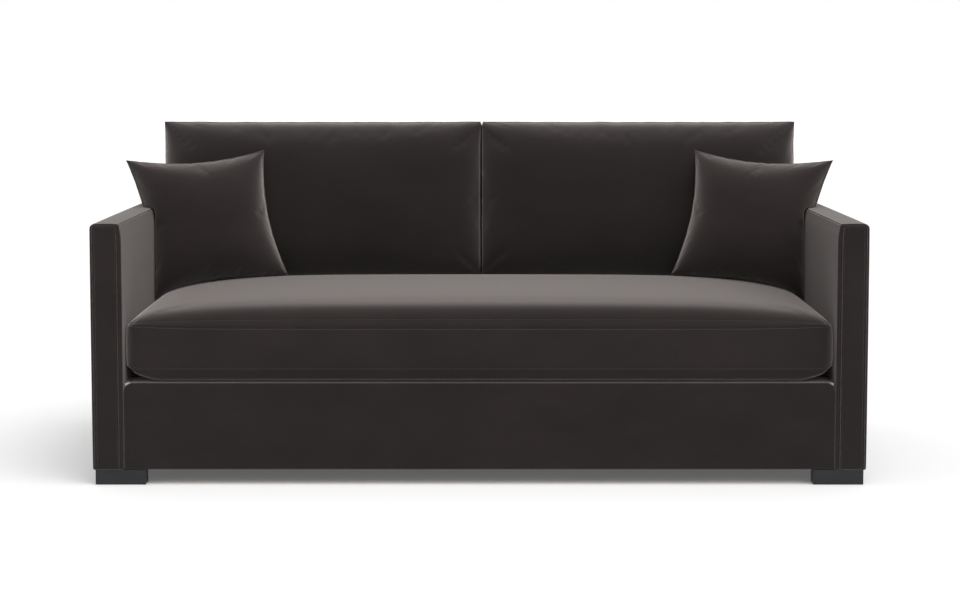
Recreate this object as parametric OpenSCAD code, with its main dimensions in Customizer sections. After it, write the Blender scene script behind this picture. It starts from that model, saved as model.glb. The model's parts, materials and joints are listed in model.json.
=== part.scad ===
// Tuxedo sofa with arms as high as the frame's back, one bench cushion, two loose
// back cushions and two throw pillows. Sizes are in millimetres.
// The origin is on the floor, midway between the arms and midway front to back.
// The sofa faces -Y, so its left arm is at -X.

/* [Overall] */
// Width across both arms
sofa_w = 1980; // [1700:10:2300]
// Depth from the arm fronts to the outside back
sofa_d = 965; // [820:5:1100]
// Height of the arms and of the frame's back
arm_h = 671; // [620:1:700]
// Height of the deck that carries the seat cushion
deck_z = 264; // [235:1:290]
// Depth of the back at deck height, from the inside back to the outside back
back_d = 145; // [135:5:195]
// Angle of the inside back from upright, in degrees
back_rake = 8; // [5:0.5:9]

/* [Arms] */
// Finished thickness of an arm
arm_w = 79; // [65:1:110]
// Radius of the padded edges
edge_r = 9; // [4:0.5:12]
// Depth of an arm post, front to back
post_d = 70; // [55:1:90]
// Thickness of the rail along the top of an arm and of the back
top_rail_t = 25; // [18:1:35]

/* [Skins] */
// Thickness of the velvet with its backing
cover_t = 1.5; // [1:0.1:2.5]
// Thickness of the padding on the arms and the front
pad_t = 12.5; // [8:0.5:16]
// Thickness of the hardboard liners
liner_t = 3; // [2:0.5:5]
// Thickness of the padding on the inside back
back_pad_t = 17.5; // [10:0.5:25]
// Thickness of the pad over the springs
deck_pad_t = 12; // [8:0.5:16]
// Width of the cloth that is turned under the base
turn_under = 20; // [12:1:24]

/* [Frame] */
// Thickness of the seat rails and back posts
rail_t = 30; // [22:1:36]
// Setback of the front panel from the arm fronts
panel_inset = 3; // [1:0.5:10]
// Radius of the front panel's two top corners
panel_corner_r = 25; // [14:1:40]
// How far the stretchers stay below the rail tops
stretcher_drop = 45; // [30:1:70]
// Leg of each triangular corner block
corner_block_leg = 90; // [60:5:120]
// Height of each corner block
corner_block_h = 110; // [60:5:130]
// Height of the rail that holds the lower edge of the inside back
tack_rail_h = 60; // [40:5:80]
// Depth of the rail that holds the lower edge of the inside back
tack_rail_d = 22; // [15:1:30]
// Height of the tack rail above the deck
tack_rail_lift = 40; // [20:5:80]

/* [Webbing and springs] */
// Thickness of the back webbing
web_t = 2.5; // [1.5:0.5:4]
// Width of each webbing strap
web_w = 50; // [30:5:60]
// Number of webbing straps across the back
web_count = 4; // [3:1:5]
// Number of springs along the seat
spring_count = 10; // [6:1:14]
// Width of a spring across its loops
spring_w = 48; // [36:1:60]
// Length of one full wave of a spring
spring_wave = 46; // [36:1:60]
// Thickness of the spring wire
wire_d = 4; // [3:0.5:5]
// Thickness of the clips that hold the spring ends
clip_t = 2; // [1:0.5:3]
// Width of a spring clip
clip_w = 30; // [20:1:34]
// Depth of a spring clip
clip_d = 14; // [10:1:18]
// Number of tie wires across the springs
tie_count = 3; // [1:1:5]
// Diameter of the tie wires
tie_d = 2.5; // [1.5:0.5:4]

/* [Feet] */
// Width of a foot
foot_w = 128; // [110:1:140]
// Depth of a foot, front to back
foot_d = 45; // [36:1:60]
// Height of the base above the floor
foot_h = 39; // [30:1:60]
// Setback of a foot from the arm's outer face
foot_side_inset = 5.5; // [2:0.5:8]
// Setback of a foot from the front and rear faces
foot_end_inset = 5; // [2:0.5:12]
// Diameter of the glides let into a foot
glide_d = 20; // [14:1:26]
// Thickness of a glide
glide_t = 4; // [3:0.5:5]
// How far a glide stands out below its foot
glide_out = 1; // [0.5:0.5:2]

/* [Fasteners] */
// Shaft diameter of the bolts that join the arms to the seat and back
bolt_d = 8; // [6:1:10]
// Width of the bolt heads across their flats
bolt_head_af = 13; // [10:1:17]
// Height of the bolt heads
bolt_head_h = 5.5; // [4:0.5:7]
// Diameter of the bolt washers
washer_d = 24; // [18:1:30]
// Thickness of the bolt washers
washer_t = 2; // [1:0.5:3]
// Outer diameter of the threaded inserts in the arms
insert_d = 12; // [11:0.5:14]
// Length of the threaded inserts
insert_l = 20; // [12:1:25]
// Shaft diameter of the screws that hold the feet
screw_d = 5; // [4:0.5:6]
// Head diameter of the foot screws
screw_head_d = 10; // [8:0.5:12]
// Head height of the foot screws
screw_head_h = 3.5; // [2:0.5:5]
// Depth of each screw head inside its foot
screw_recess = 14; // [8:1:20]
// How far a foot screw reaches into the frame
screw_reach = 40; // [25:1:60]
// Distance between the two screws of a foot
screw_spacing = 64; // [60:1:68]

/* [Seat cushion] */
// Gap between the cushion and each arm
seat_side_gap = 9.5; // [4:0.5:14]
// Setback of the cushion's front from the arm fronts
seat_front_gap = 25; // [15:1:50]
// Gap between the cushion's rear and the inside back
seat_rear_gap = 5; // [3:0.5:12]
// Height of the lower seam above the underside
seat_underside = 28; // [18:1:36]
// Height of the band between the two seams
seat_band_h = 108; // [90:1:125]
// Crown of the top above the upper seam
seat_crown = 80; // [60:1:90]
// Length over which the front and rear shoulders rise
seat_shoulder = 60; // [45:1:80]
// Length over which the top slopes up from each end
seat_end_slope = 150; // [120:5:250]
// Length over which the ends round over
seat_end_round = 12; // [8:1:20]
// How far the plan corners are drawn in
seat_corner_draw = 7; // [4:1:12]
// How far the seams lift towards the corners
seat_corner_lift = 8; // [0:1:12]
// How far the band swells between its seams
seat_band_swell = 2.5; // [1:0.5:4]

/* [Back cushions] */
// Height of a back cushion along its rake
back_cushion_h = 458; // [420:1:480]
// Thickness of a back cushion
back_cushion_t = 186; // [150:1:200]
// Offset of the line where the two cushions meet
back_meeting_x = 7; // [-10:1:10]
// Gap between the two back cushions
back_meeting_gap = 1.6; // [1:0.2:4]
// Gap between a back cushion's corners and the arm
back_side_gap = 1; // [0.6:0.2:6]
// Play under the back cushions' lower edge, where it rests on the seat cushion
back_cushion_play = 1.2; // [1.1:0.1:3]

/* [Throw pillows] */
// Width of a filled pillow, corner to corner
pillow_w = 387; // [350:1:390]
// Height of a filled pillow, corner to corner
pillow_h = 366; // [340:1:390]
// Thickness of a pillow
pillow_t = 130; // [100:1:150]
// How far a pillow's top leans over towards its arm
pillow_skew = 32; // [15:1:34]
// Lean of a pillow from upright, in degrees
pillow_lean = 10.9; // [8:0.1:12]
// Turn of a pillow towards the middle, in degrees
pillow_turn = 17.6; // [12:0.1:20]
// Roll of a pillow, inner corner up, in degrees
pillow_roll = 3.4; // [2.6:0.1:4]
// How far a pillow's outer half reaches past the inside of its arm
pillow_overhang = 48.5; // [30:0.5:49]
// Distance between a pillow's rear and the front of the back cushion
pillow_standoff = 16.3; // [15.5:0.1:40]
// Play under a pillow's lower corner, where it rests on the seat cushion
pillow_play = 0.6; // [0.4:0.1:3]

/* [Zips] */
// Length of a zip slider
zip_l = 10; // [7:1:14]
// Width of a zip slider
zip_w = 6; // [4:0.5:8]
// Height of a zip slider
zip_h = 3; // [2:0.5:4]
// Thickness of the zip's coil
zip_coil_t = 1.6; // [1:0.2:2.4]
// Height of the zip's coil and tape
zip_tape_w = 24; // [16:1:30]
// Distance of the seat cushion's zip ends from the cushion's rear corners
seat_zip_margin = 150; // [150:5:300]
// Distance of each back cushion's zip ends from the cushion's lower corners
back_zip_margin = 175; // [155:5:250]

/* [Hidden] */

// Resting gap between soft pieces, and the play of screws, bolts and webbing in their places
rest_gap = 0.3;
hole_play = 0.2;
// Overrun of cuts past the faces they open
over = 1;
$fn = 48;

// Faces of the whole sofa and of its seat bay
y_front = -sofa_d / 2;
y_rear = sofa_d / 2;
x_out = sofa_w / 2;
x_in = x_out - arm_w;
seat_depth = sofa_d - back_d;
skin = cover_t + pad_t;

// Heights of the frame
frame_z = foot_h + cover_t;
rail_z = deck_z - cover_t - deck_pad_t - wire_d - clip_t;
frame_top = arm_h - skin;

// Front rail, and the inside back's slope
front_rail_y = y_front + panel_inset + skin;
function back_y(z) = y_front + seat_depth + (z - deck_z) * tan(back_rake);
function back_frame_y(z) = back_y(z) + cover_t + back_pad_t + web_t;
rear_rail_y = back_frame_y(rail_z);
back_rear_y = y_rear - cover_t - liner_t;
tack_rail_z = deck_z + tack_rail_lift;

// Springs run from the middle of the front rail to the middle of the rear rail
spring_y0 = front_rail_y + rail_t / 2;
spring_y1 = rear_rail_y + rail_t / 2;
spring_waves = floor((spring_y1 - spring_y0) / spring_wave);
spring_pitch = 2 * (x_in - rail_t) / spring_count;

// Inner back posts and stretchers stand midway between two springs
inner_post_share = 0.3;
inner_post_x = (spring_count / 2 - round(inner_post_share * spring_count)) * spring_pitch;

// Front edge of the deck pad, and how far the front's velvet reaches back over it
deck_y0 = front_rail_y + rail_t / 2 - 2 * clip_t;
front_return = 110;

// Arm frame, inside the arm's cover and padding
arm_core_x0 = x_in + skin;
arm_core_x1 = x_out - skin;
arm_core_y0 = y_front + skin;
arm_core_y1 = y_rear - 2 * cover_t;
arm_frame_x0 = arm_core_x0 + liner_t;
arm_frame_x1 = arm_core_x1 - liner_t;

// Bolts: places along the seat's end rails between the corner blocks, and one high in
// each back post
bolt_y0 = front_rail_y + rail_t + corner_block_leg;
bolt_y1 = rear_rail_y - corner_block_leg;
bolt_y_shares = [0.1, 0.5, 0.9];
bolt_rail_z = (frame_z + rail_z) / 2;
bolt_post_y = arm_core_y1 - post_d / 2;
bolt_post_z_share = 0.78;
bolt_x0 = x_in - rail_t;

// Feet
foot_x = x_out - foot_side_inset - foot_w / 2;
front_foot_y = y_front + foot_end_inset + foot_d / 2;
glide_spacing = foot_w - 2 * glide_d;

// Seat cushion
seat_z0 = deck_z + rest_gap;
seat_low_z = seat_z0 + seat_underside;
seat_high_z = seat_low_z + seat_band_h;
seat_half_w = x_in - seat_side_gap;
seat_y0 = y_front + seat_front_gap;
seat_y1 = y_front + seat_depth - seat_rear_gap;
seat_mid_y = (seat_y0 + seat_y1) / 2;
seat_half_d = (seat_y1 - seat_y0) / 2;
seat_top_z = seat_high_z + seat_crown;
// Share of the crown that the round ends take
end_round_share = 0.4;
// Shares of a half side, from each corner, over which corners draw in and seams lift
seat_draw_share = 0.04;
seat_lift_share = 0.125;
// Places of the points along a side, and of the rings over the top and the underside
seat_side_shares = [-1, -0.97, -0.9, -0.75, -0.45, 0, 0.45, 0.75, 0.9, 0.97];
seat_top_shares = [0.3, 0.6, 0.8, 0.89, 0.95, 0.98, 1];
seat_bottom_shares = [1, 0.98, 0.94, 0.88, 0.6];

// The seat cushion's zip, along the middle of its rear band
seat_zip_y = seat_y1 + seat_band_swell + rest_gap;
seat_zip_z = (seat_low_z + seat_high_z) / 2;
seat_zip_l = 2 * (seat_half_w - seat_zip_margin);
// Share of a zip slider's length before its nose tapers
zip_nose_share = 0.6;

// Back cushions stand on the seat cushion's crown and lean on the inside back
back_cushion_foot_y = back_y(seat_top_z) - back_cushion_t / 2 / cos(back_rake);
back_cushion_z = seat_surface_z(0, back_cushion_foot_y) + back_cushion_play;
back_cushion_mid_z = back_cushion_z + back_cushion_h * cos(back_rake) / 2;
back_cushion_mid_y = back_y(back_cushion_mid_z) - (back_cushion_t / 2 + rest_gap) / cos(back_rake);
left_back_w = back_meeting_x - back_meeting_gap / 2 + x_in - back_side_gap;
right_back_w = x_in - back_side_gap - back_meeting_x - back_meeting_gap / 2;
left_back_x = back_meeting_x - back_meeting_gap / 2 - left_back_w / 2;
right_back_x = back_meeting_x + back_meeting_gap / 2 + right_back_w / 2;

// How far each edge of a left cushion is drawn in: outer, inner, bottom, top
back_pull_shares = [0.018, 0.008, 0.03, 0.022];
pillow_pull_shares = [0.135, 0.155, 0.05, 0.13];
// Share of a half side, from each corner, over which an edge is drawn in
back_edge_share = 0.17;
pillow_edge_share = 0.5;
// Fall of the thickness towards the edges: a lower share makes a fuller cushion
back_fullness_share = 0.42;
pillow_fullness_share = 0.6;

// Throw pillows stand on the seat cushion, in front of the back cushions
pillow_form = [[pillow_w, pillow_t, pillow_h], pillow_pull_shares,
               pillow_edge_share, pillow_fullness_share, pillow_skew];
pillow_x = pillow_w / 2 - pillow_overhang - x_in;
pillow_y = back_y(seat_top_z + pillow_h / 2) - back_cushion_t / cos(back_rake) - pillow_t / 2
    - pillow_standoff;
pillow_z = seat_surface_z(pillow_x, pillow_y) + pillow_h / 2 * cos(pillow_lean) + pillow_play;

// Wall of the padded covers round their cores
cover_wall = 9;

// Places of the points along one side of a ring, and of the rings across a form
fine_side_shares = [-1, -0.95, -0.84, -0.62, -0.3, 0, 0.3, 0.62, 0.84, 0.95];
coarse_side_shares = [-1, -0.72, -0.25, 0.25, 0.72];
fine_ring_shares = [0.22, 0.45, 0.66, 0.82, 0.92, 0.98, 1];
coarse_ring_shares = [0.45, 0.8, 1];

// A block from one corner to the opposite one
module block(low, high) {
    translate(low) cube(high - low);
}

// Draws its children at the right, or mirrored at the left
module on_side(side) {
    if (side > 0) children();
    else mirror([1, 0, 0]) children();
}

// Extrudes an outline drawn in depth and height along X, from x0 to x1
module along_x(x0, x1) {
    translate([x0, 0, 0]) rotate([90, 0, 90]) linear_extrude(x1 - x0) children();
}

// Rectangle whose two upper corners are round
module round_top(x0, x1, y0, y1, r) {
    translate([x0, y0]) square([x1 - x0, y1 - y0 - r]);
    translate([x0 + r, y0]) square([x1 - x0 - 2 * r, y1 - y0]);
    for (x = [x0 + r, x1 - r]) translate([x, y1 - r]) circle(r);
}

// Cylinder along X
module rod_x(x0, x1, y, z, d) {
    translate([x0, y, z]) rotate([0, 90, 0]) cylinder(d = d, h = x1 - x0);
}

// Rings of points round a unit square, and the faces of the solid they form
function square_ring(share, sides) = concat(
    [for (a = sides) [a, -1] * share],
    [for (a = sides) [1, a] * share],
    [for (a = sides) [-a, 1] * share],
    [for (a = sides) [-1, -a] * share]
);

function ring_faces(n, rings) = concat(
    [for (i = [0 : n - 1]) [0, 1 + (i + 1) % n, 1 + i]],
    [for (r = [0 : rings - 2]) for (i = [0 : n - 1])
        [1 + r * n + i, 1 + r * n + (i + 1) % n, 1 + (r + 1) * n + (i + 1) % n]],
    [for (r = [0 : rings - 2]) for (i = [0 : n - 1])
        [1 + r * n + i, 1 + (r + 1) * n + (i + 1) % n, 1 + (r + 1) * n + i]],
    [for (i = [0 : n - 1])
        [1 + rings * n, 1 + (rings - 1) * n + i, 1 + (rings - 1) * n + (i + 1) % n]]
);

// Closed solid between two poles, through rings of equally many points
module ringed_solid(first, rings, last) {
    points = concat([first], [for (ring = rings) each ring], [last]);
    polyhedron(points, ring_faces(len(rings[0]), len(rings)));
}

function reversed(list) = [for (i = [len(list) - 1 : -1 : 0]) list[i]];

// Knife-edge cushion: edges drawn in between the corners, full in the middle.
// A form lists its size, edge pulls, edge share, fullness and sideways skew.
function cushion_point(u, v, face, form) = let (
    size = form[0], pulls = form[1], power = 1 / form[2], fullness = form[3], skew = form[4]
) [
    size.x / 2 * u * (1 - pulls[u < 0 ? 0 : 1] * (1 - pow(abs(v), power))) - skew / 2 * v,
    face * size.y / 2 * pow((1 - pow(abs(u), 3)) * (1 - pow(abs(v), 3)), fullness),
    size.z / 2 * v * (1 - pulls[v < 0 ? 2 : 3] * (1 - pow(abs(u), power)))
];

function cushion_ring(share, sides, face, form) =
    [for (p = square_ring(share, sides)) cushion_point(p.x, p.y, face, form)];

module knife_edge_cushion(form, sides, shares) {
    inner = [for (s = shares) if (s < 1) s];
    front = [for (s = shares) cushion_ring(s, sides, -1, form)];
    rear = [for (s = reversed(inner)) cushion_ring(s, sides, 1, form)];
    ringed_solid(cushion_point(0, 0, -1, form), concat(front, rear), cushion_point(0, 0, 1, form));
}

module knife_edge_shape(form) {
    knife_edge_cushion(form, fine_side_shares, fine_ring_shares);
}

module knife_edge_core(form, inset) {
    core_size = [for (length = form[0]) length - 2 * inset];
    knife_edge_cushion([core_size, form[1], form[2], form[3], form[4]],
                       coarse_side_shares, coarse_ring_shares);
}

// Wood and board of the frame
module front_rail() {
    color("burlywood") difference() {
        block([skin - x_in, front_rail_y, frame_z], [x_in - skin, front_rail_y + rail_t, rail_z]);
        foot_screw_holes();
    }
}

module rear_rail() {
    color("burlywood") block([-x_in, rear_rail_y, frame_z], [x_in, rear_rail_y + rail_t, rail_z]);
}

module seat_end_rail(side) {
    color("tan") difference() {
        on_side(side) block([x_in - rail_t, front_rail_y + rail_t, frame_z],
                            [x_in, rear_rail_y, rail_z]);
        bolt_holes(bolt_d);
    }
}

module seat_stretchers() {
    color("tan") for (x = [-inner_post_x, inner_post_x]) {
        block([x - rail_t / 2, front_rail_y + rail_t, frame_z],
              [x + rail_t / 2, rear_rail_y, rail_z - stretcher_drop]);
    }
}

module corner_blocks() {
    mid_z = (frame_z + rail_z - corner_block_h) / 2;
    color("peru") for (side = [-1, 1]) on_side(side) {
        translate([x_in - rail_t, front_rail_y + rail_t, mid_z]) linear_extrude(corner_block_h)
            polygon([[0, 0], [-corner_block_leg, 0], [0, corner_block_leg]]);
        translate([x_in - rail_t, rear_rail_y, mid_z]) linear_extrude(corner_block_h)
            polygon([[0, 0], [0, -corner_block_leg], [-corner_block_leg, 0]]);
    }
}

// Outline of a back post, with its foot behind the rear rail
module back_post_outline() {
    top = frame_top - top_rail_t;
    polygon([
        [back_rear_y, frame_z], [back_rear_y, top], [back_frame_y(top), top],
        [rear_rail_y, rail_z], [rear_rail_y + rail_t, rail_z], [rear_rail_y + rail_t, frame_z]
    ]);
}

module tack_rail_outline() {
    top = tack_rail_z + tack_rail_h;
    y0 = back_frame_y(tack_rail_z);
    y1 = back_frame_y(top);
    polygon([[y0, tack_rail_z], [y0 + tack_rail_d, tack_rail_z], [y1 + tack_rail_d, top], [y1, top]]);
}

module back_post(x) {
    color("burlywood") difference() {
        along_x(x - rail_t / 2, x + rail_t / 2) difference() {
            back_post_outline();
            tack_rail_outline();
        }
        bolt_holes(bolt_d);
        foot_screw_holes();
    }
}

module inner_back_posts() {
    for (x = [-inner_post_x, inner_post_x]) back_post(x);
}

module back_top_rail() {
    z0 = frame_top - top_rail_t;
    color("tan") along_x(-x_in, x_in) polygon([
        [back_frame_y(z0), z0], [back_rear_y, z0], [back_rear_y, frame_top],
        [back_frame_y(frame_top), frame_top]
    ]);
}

module back_tack_rail() {
    color("peru") along_x(-x_in, x_in) tack_rail_outline();
}

module arm_front_post(side) {
    color("burlywood") difference() {
        on_side(side) block([arm_frame_x0, arm_core_y0, frame_z],
                            [arm_frame_x1, arm_core_y0 + post_d, frame_top - top_rail_t]);
        foot_screw_holes();
    }
}

module arm_rear_post(side) {
    color("burlywood") difference() {
        on_side(side) block([arm_frame_x0, arm_core_y1 - post_d, frame_z],
                            [arm_frame_x1, arm_core_y1, frame_top - top_rail_t]);
        bolt_holes(insert_d);
        foot_screw_holes();
    }
}

module arm_top_rail(side) {
    color("tan") on_side(side) block([arm_frame_x0, arm_core_y0, frame_top - top_rail_t],
                                     [arm_frame_x1, arm_core_y1, frame_top]);
}

module arm_bottom_rail(side) {
    color("peru") difference() {
        on_side(side) block([arm_frame_x0, arm_core_y0 + post_d, frame_z],
                            [arm_frame_x1, arm_core_y1 - post_d, rail_z]);
        bolt_holes(insert_d);
    }
}

module arm_liners(side) {
    color("sienna") difference() {
        on_side(side) {
            block([arm_core_x0, arm_core_y0, frame_z], [arm_frame_x0, arm_core_y1, frame_top]);
            block([arm_frame_x1, arm_core_y0, frame_z], [arm_core_x1, arm_core_y1, frame_top]);
        }
        bolt_holes(bolt_d);
    }
}

module outside_back_liner() {
    color("sienna") block([-x_in, back_rear_y, frame_z],
                          [x_in, y_rear - cover_t, arm_h - cover_t]);
}

// Webbing, springs and their fittings
module back_webbing() {
    low = tack_rail_z + tack_rail_h;
    pitch = (frame_top - low) / web_count;
    color("darkkhaki") for (i = [0 : web_count - 1]) {
        z0 = low + (i + 0.5) * pitch - web_w / 2;
        z1 = z0 + web_w;
        along_x(-x_in, x_in) polygon([
            [back_frame_y(z0) - web_t, z0], [back_frame_y(z0), z0],
            [back_frame_y(z1), z1], [back_frame_y(z1) - web_t, z1]
        ]);
    }
}

function spring_x(i) = (i + 0.5 - spring_count / 2) * spring_pitch;

module spring_outline() {
    wave = (spring_y1 - spring_y0 - wire_d) / spring_waves;
    half = spring_w / 2;
    for (i = [0 : 2 * spring_waves]) {
        y = spring_y0 + i * wave / 2;
        translate([-half, y]) square([spring_w, wire_d]);
    }
    for (i = [0 : 2 * spring_waves - 1]) {
        side = i % 2 == 0 ? half - wire_d : -half;
        translate([side, spring_y0 + i * wave / 2]) square([wire_d, wave / 2 + wire_d]);
    }
}

module seat_springs() {
    color("silver") for (i = [0 : spring_count - 1]) {
        translate([spring_x(i), 0, rail_z + clip_t]) linear_extrude(wire_d) spring_outline();
    }
}

module spring_clips() {
    color("gray") for (i = [0 : spring_count - 1]) translate([spring_x(i) - clip_w / 2, 0, rail_z]) {
        block([0, spring_y0 - clip_t, 0], [clip_w, spring_y0 - clip_t + clip_d, clip_t]);
        block([0, spring_y0 - clip_t, 0], [clip_w, spring_y0, clip_t + wire_d]);
        block([0, spring_y1 + clip_t - clip_d, 0], [clip_w, spring_y1 + clip_t, clip_t]);
        block([0, spring_y1, 0], [clip_w, spring_y1 + clip_t, clip_t + wire_d]);
    }
}

module spring_tie_wires() {
    span = spring_y1 - spring_y0;
    color("dimgray") for (i = [1 : tie_count]) {
        rod_x(rail_t - x_in, x_in - rail_t, spring_y0 + i * span / (tie_count + 1),
              rail_z + clip_t - tie_d / 2, tie_d);
    }
}

// Deck, front and inside back
// The pad's front follows the round top corners of the velvet that wraps over it
module deck_pad() {
    low_z = deck_z - cover_t - deck_pad_t;
    split_y = y_front + front_return;
    color("ivory") {
        intersection() {
            block([-x_in, deck_y0, low_z], [x_in, split_y, deck_z]);
            front_block(cover_t, split_y);
        }
        block([panel_corner_r - x_in, deck_y0, low_z],
              [x_in - panel_corner_r, rear_rail_y, deck_z - cover_t]);
        block([-x_in, split_y, low_z], [x_in, rear_rail_y, deck_z - cover_t]);
    }
}

module deck_cloth() {
    color("dimgray") block([-x_in, y_front + front_return, deck_z - cover_t],
                           [x_in, rear_rail_y, deck_z]);
}

// Front panel as a block with round top corners and a round top edge
module front_block(inset, y1) {
    y0 = y_front + panel_inset + inset;
    z1 = deck_z - inset;
    intersection() {
        translate([0, y1, 0]) rotate([90, 0, 0]) linear_extrude(y1 - y0)
            round_top(inset - x_in, x_in - inset, foot_h + inset, z1, panel_corner_r - inset);
        along_x(-x_in, x_in) round_front(y0, y1, foot_h + inset, z1, edge_r - inset);
    }
}

// Rectangle in depth and height whose upper front corner is round
module round_front(y0, y1, z0, z1, r) {
    translate([y0, z0]) square([y1 - y0, z1 - z0 - r]);
    translate([y0 + r, z0]) square([y1 - y0 - r, z1 - z0]);
    translate([y0 + r, z1 - r]) circle(r);
}

module front_padding() {
    color("ivory") difference() {
        front_block(cover_t, front_rail_y + rail_t);
        block([skin - x_in, front_rail_y, 0], [x_in - skin, front_rail_y + rail_t + over, rail_z]);
        block([-x_in, deck_y0, 0], [x_in, front_rail_y + rail_t + over, deck_z]);
        block([-x_in, front_rail_y, 0], [skin - x_in, front_rail_y + rail_t + over, deck_z]);
        block([x_in - skin, front_rail_y, 0], [x_in, front_rail_y + rail_t + over, deck_z]);
    }
}

module front_cover() {
    color([0.18, 0.165, 0.16]) difference() {
        front_block(0, y_front + front_return);
        front_block(cover_t, y_front + front_return + over);
        block([-x_in, front_rail_y + turn_under, 0],
              [x_in, y_front + front_return + over, deck_z - cover_t]);
        foot_screw_holes();
    }
}

module inside_back_padding() {
    web_front = web_t + hole_play;
    color("ivory") along_x(-x_in, x_in) polygon([
        [back_y(deck_z) + cover_t, deck_z], [back_frame_y(deck_z) - web_front, deck_z],
        [back_frame_y(frame_top) - web_front, frame_top], [back_rear_y, frame_top],
        [back_rear_y, arm_h - cover_t], [back_y(arm_h) + cover_t + edge_r, arm_h - cover_t],
        [back_y(arm_h - edge_r) + cover_t, arm_h - edge_r]
    ]);
}

module inside_back_cover() {
    color([0.2, 0.18, 0.175]) along_x(-x_in, x_in) polygon([
        [back_y(deck_z), deck_z], [back_y(deck_z) + cover_t, deck_z],
        [back_y(arm_h - edge_r) + cover_t, arm_h - edge_r],
        [back_y(arm_h) + cover_t + edge_r, arm_h - cover_t], [y_rear - cover_t, arm_h - cover_t],
        [y_rear - cover_t, arm_h], [back_y(arm_h) + edge_r, arm_h],
        [back_y(arm_h - edge_r), arm_h - edge_r]
    ]);
}

module outside_back_cover() {
    color([0.2, 0.18, 0.175]) {
        translate([0, y_rear, 0]) rotate([90, 0, 0]) linear_extrude(cover_t)
            round_top(-x_out, x_out, foot_h, arm_h, edge_r);
        difference() {
            block([-x_in, y_rear - cover_t - turn_under, foot_h], [x_in, y_rear - cover_t, frame_z]);
            foot_screw_holes();
        }
    }
}

module dust_cover() {
    color("black") difference() {
        block([-x_in, front_rail_y + turn_under, foot_h],
              [x_in, y_rear - cover_t - turn_under, frame_z]);
        foot_screw_holes();
    }
}

// Arm block with round top and front edges, drawn in by an inset
module arm_block(inset) {
    x0 = x_in + inset;
    x1 = x_out - inset;
    y0 = y_front + inset;
    y1 = y_rear - cover_t - inset;
    r = edge_r - inset;
    intersection() {
        translate([0, y1, 0]) rotate([90, 0, 0]) linear_extrude(y1 - y0)
            round_top(x0, x1, foot_h + inset, arm_h - inset, r);
        translate([0, 0, foot_h + inset]) linear_extrude(arm_h - foot_h - 2 * inset)
            mirror([0, 1]) round_top(x0, x1, -y1, -y0, r);
    }
}

module arm_padding(side) {
    color("ivory") difference() {
        on_side(side) difference() {
            arm_block(cover_t);
            block([arm_core_x0, arm_core_y0, 0], [arm_core_x1, y_rear, frame_top]);
        }
        bolt_holes(bolt_d);
    }
}

module arm_cover(side) {
    color([0.22, 0.2, 0.19]) difference() {
        on_side(side) difference() {
            arm_block(0);
            arm_block(cover_t);
        }
        bolt_holes(bolt_d);
        foot_screw_holes();
    }
}

// Bolts that join the arms to the seat and back, and the inserts they turn into
function bolt_places() = concat(
    [for (share = bolt_y_shares) [bolt_y0 + share * (bolt_y1 - bolt_y0), bolt_rail_z]],
    [[bolt_post_y, deck_z + bolt_post_z_share * (frame_top - deck_z)]]
);

module bolt_holes(d) {
    for (side = [-1, 1]) on_side(side) for (place = bolt_places()) {
        rod_x(bolt_x0 - over, arm_frame_x0 + insert_l + over, place.x, place.y, d + 2 * hole_play);
    }
}

module arm_bolts() {
    color("silver") for (side = [-1, 1]) on_side(side) for (place = bolt_places()) {
        rod_x(bolt_x0, arm_frame_x0 + insert_l, place.x, place.y, bolt_d);
        rod_x(bolt_x0 - washer_t, bolt_x0, place.x, place.y, washer_d);
        translate([bolt_x0 - washer_t - bolt_head_h, place.x, place.y]) rotate([0, 90, 0])
            cylinder(d = bolt_head_af / cos(30), h = bolt_head_h, $fn = 6);
    }
}

module arm_inserts() {
    color("gold") for (side = [-1, 1]) on_side(side) for (place = bolt_places()) difference() {
        rod_x(arm_frame_x0, arm_frame_x0 + insert_l, place.x, place.y, insert_d);
        rod_x(arm_frame_x0 - over, arm_frame_x0 + insert_l + over, place.x, place.y,
              bolt_d + 2 * hole_play);
    }
}

// Feet with their screws and glides
module at_foot(side, end) {
    translate([side * foot_x, end * front_foot_y, 0]) children();
}

module each_foot() {
    for (side = [-1, 1]) for (end = [-1, 1]) at_foot(side, end) children();
}

module foot_screw_holes() {
    each_foot() for (x = [-1, 1]) translate([x * screw_spacing / 2, 0, 0])
        cylinder(d = screw_d + 2 * hole_play, h = foot_h + screw_reach + over);
}

module foot(side, end) {
    color([0.09, 0.09, 0.1]) at_foot(side, end) difference() {
        block([-foot_w / 2, -foot_d / 2, glide_out], [foot_w / 2, foot_d / 2, foot_h]);
        for (x = [-1, 1]) translate([x * screw_spacing / 2, 0, 0]) {
            cylinder(d = screw_d + 2 * hole_play, h = foot_h + over);
            cylinder(d = screw_head_d + 2 * hole_play, h = screw_recess + hole_play);
        }
        for (x = [-1, 1]) translate([x * glide_spacing / 2, 0, 0])
            cylinder(d = glide_d + 2 * hole_play, h = glide_t);
    }
}

module foot_screws() {
    color("silver") each_foot() for (x = [-1, 1]) translate([x * screw_spacing / 2, 0, 0]) {
        translate([0, 0, screw_recess - screw_head_h]) cylinder(d = screw_head_d, h = screw_head_h);
        translate([0, 0, screw_recess - over]) cylinder(d = screw_d,
            h = foot_h + screw_reach - screw_recess + over);
    }
}

module foot_glides() {
    color("gray") each_foot() for (x = [-1, 1]) translate([x * glide_spacing / 2, 0, 0])
        cylinder(d = glide_d, h = glide_t);
}

// Bench cushion: crowned top, band between two seams, drawn-in corners
function rise(distance, length) = 1 - exp(-distance / length);

function seat_xy(u, v, swell) = let (
    corner = seat_corner_draw * pow(abs(u * v), 1 / seat_draw_share) - swell
) [u * (seat_half_w - corner), seat_mid_y + v * (seat_half_d - corner)];

function seat_end_rise(x) = end_round_share * rise(seat_half_w - abs(x), seat_end_round)
    + (1 - end_round_share) * rise(seat_half_w - abs(x), seat_end_slope);

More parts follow.
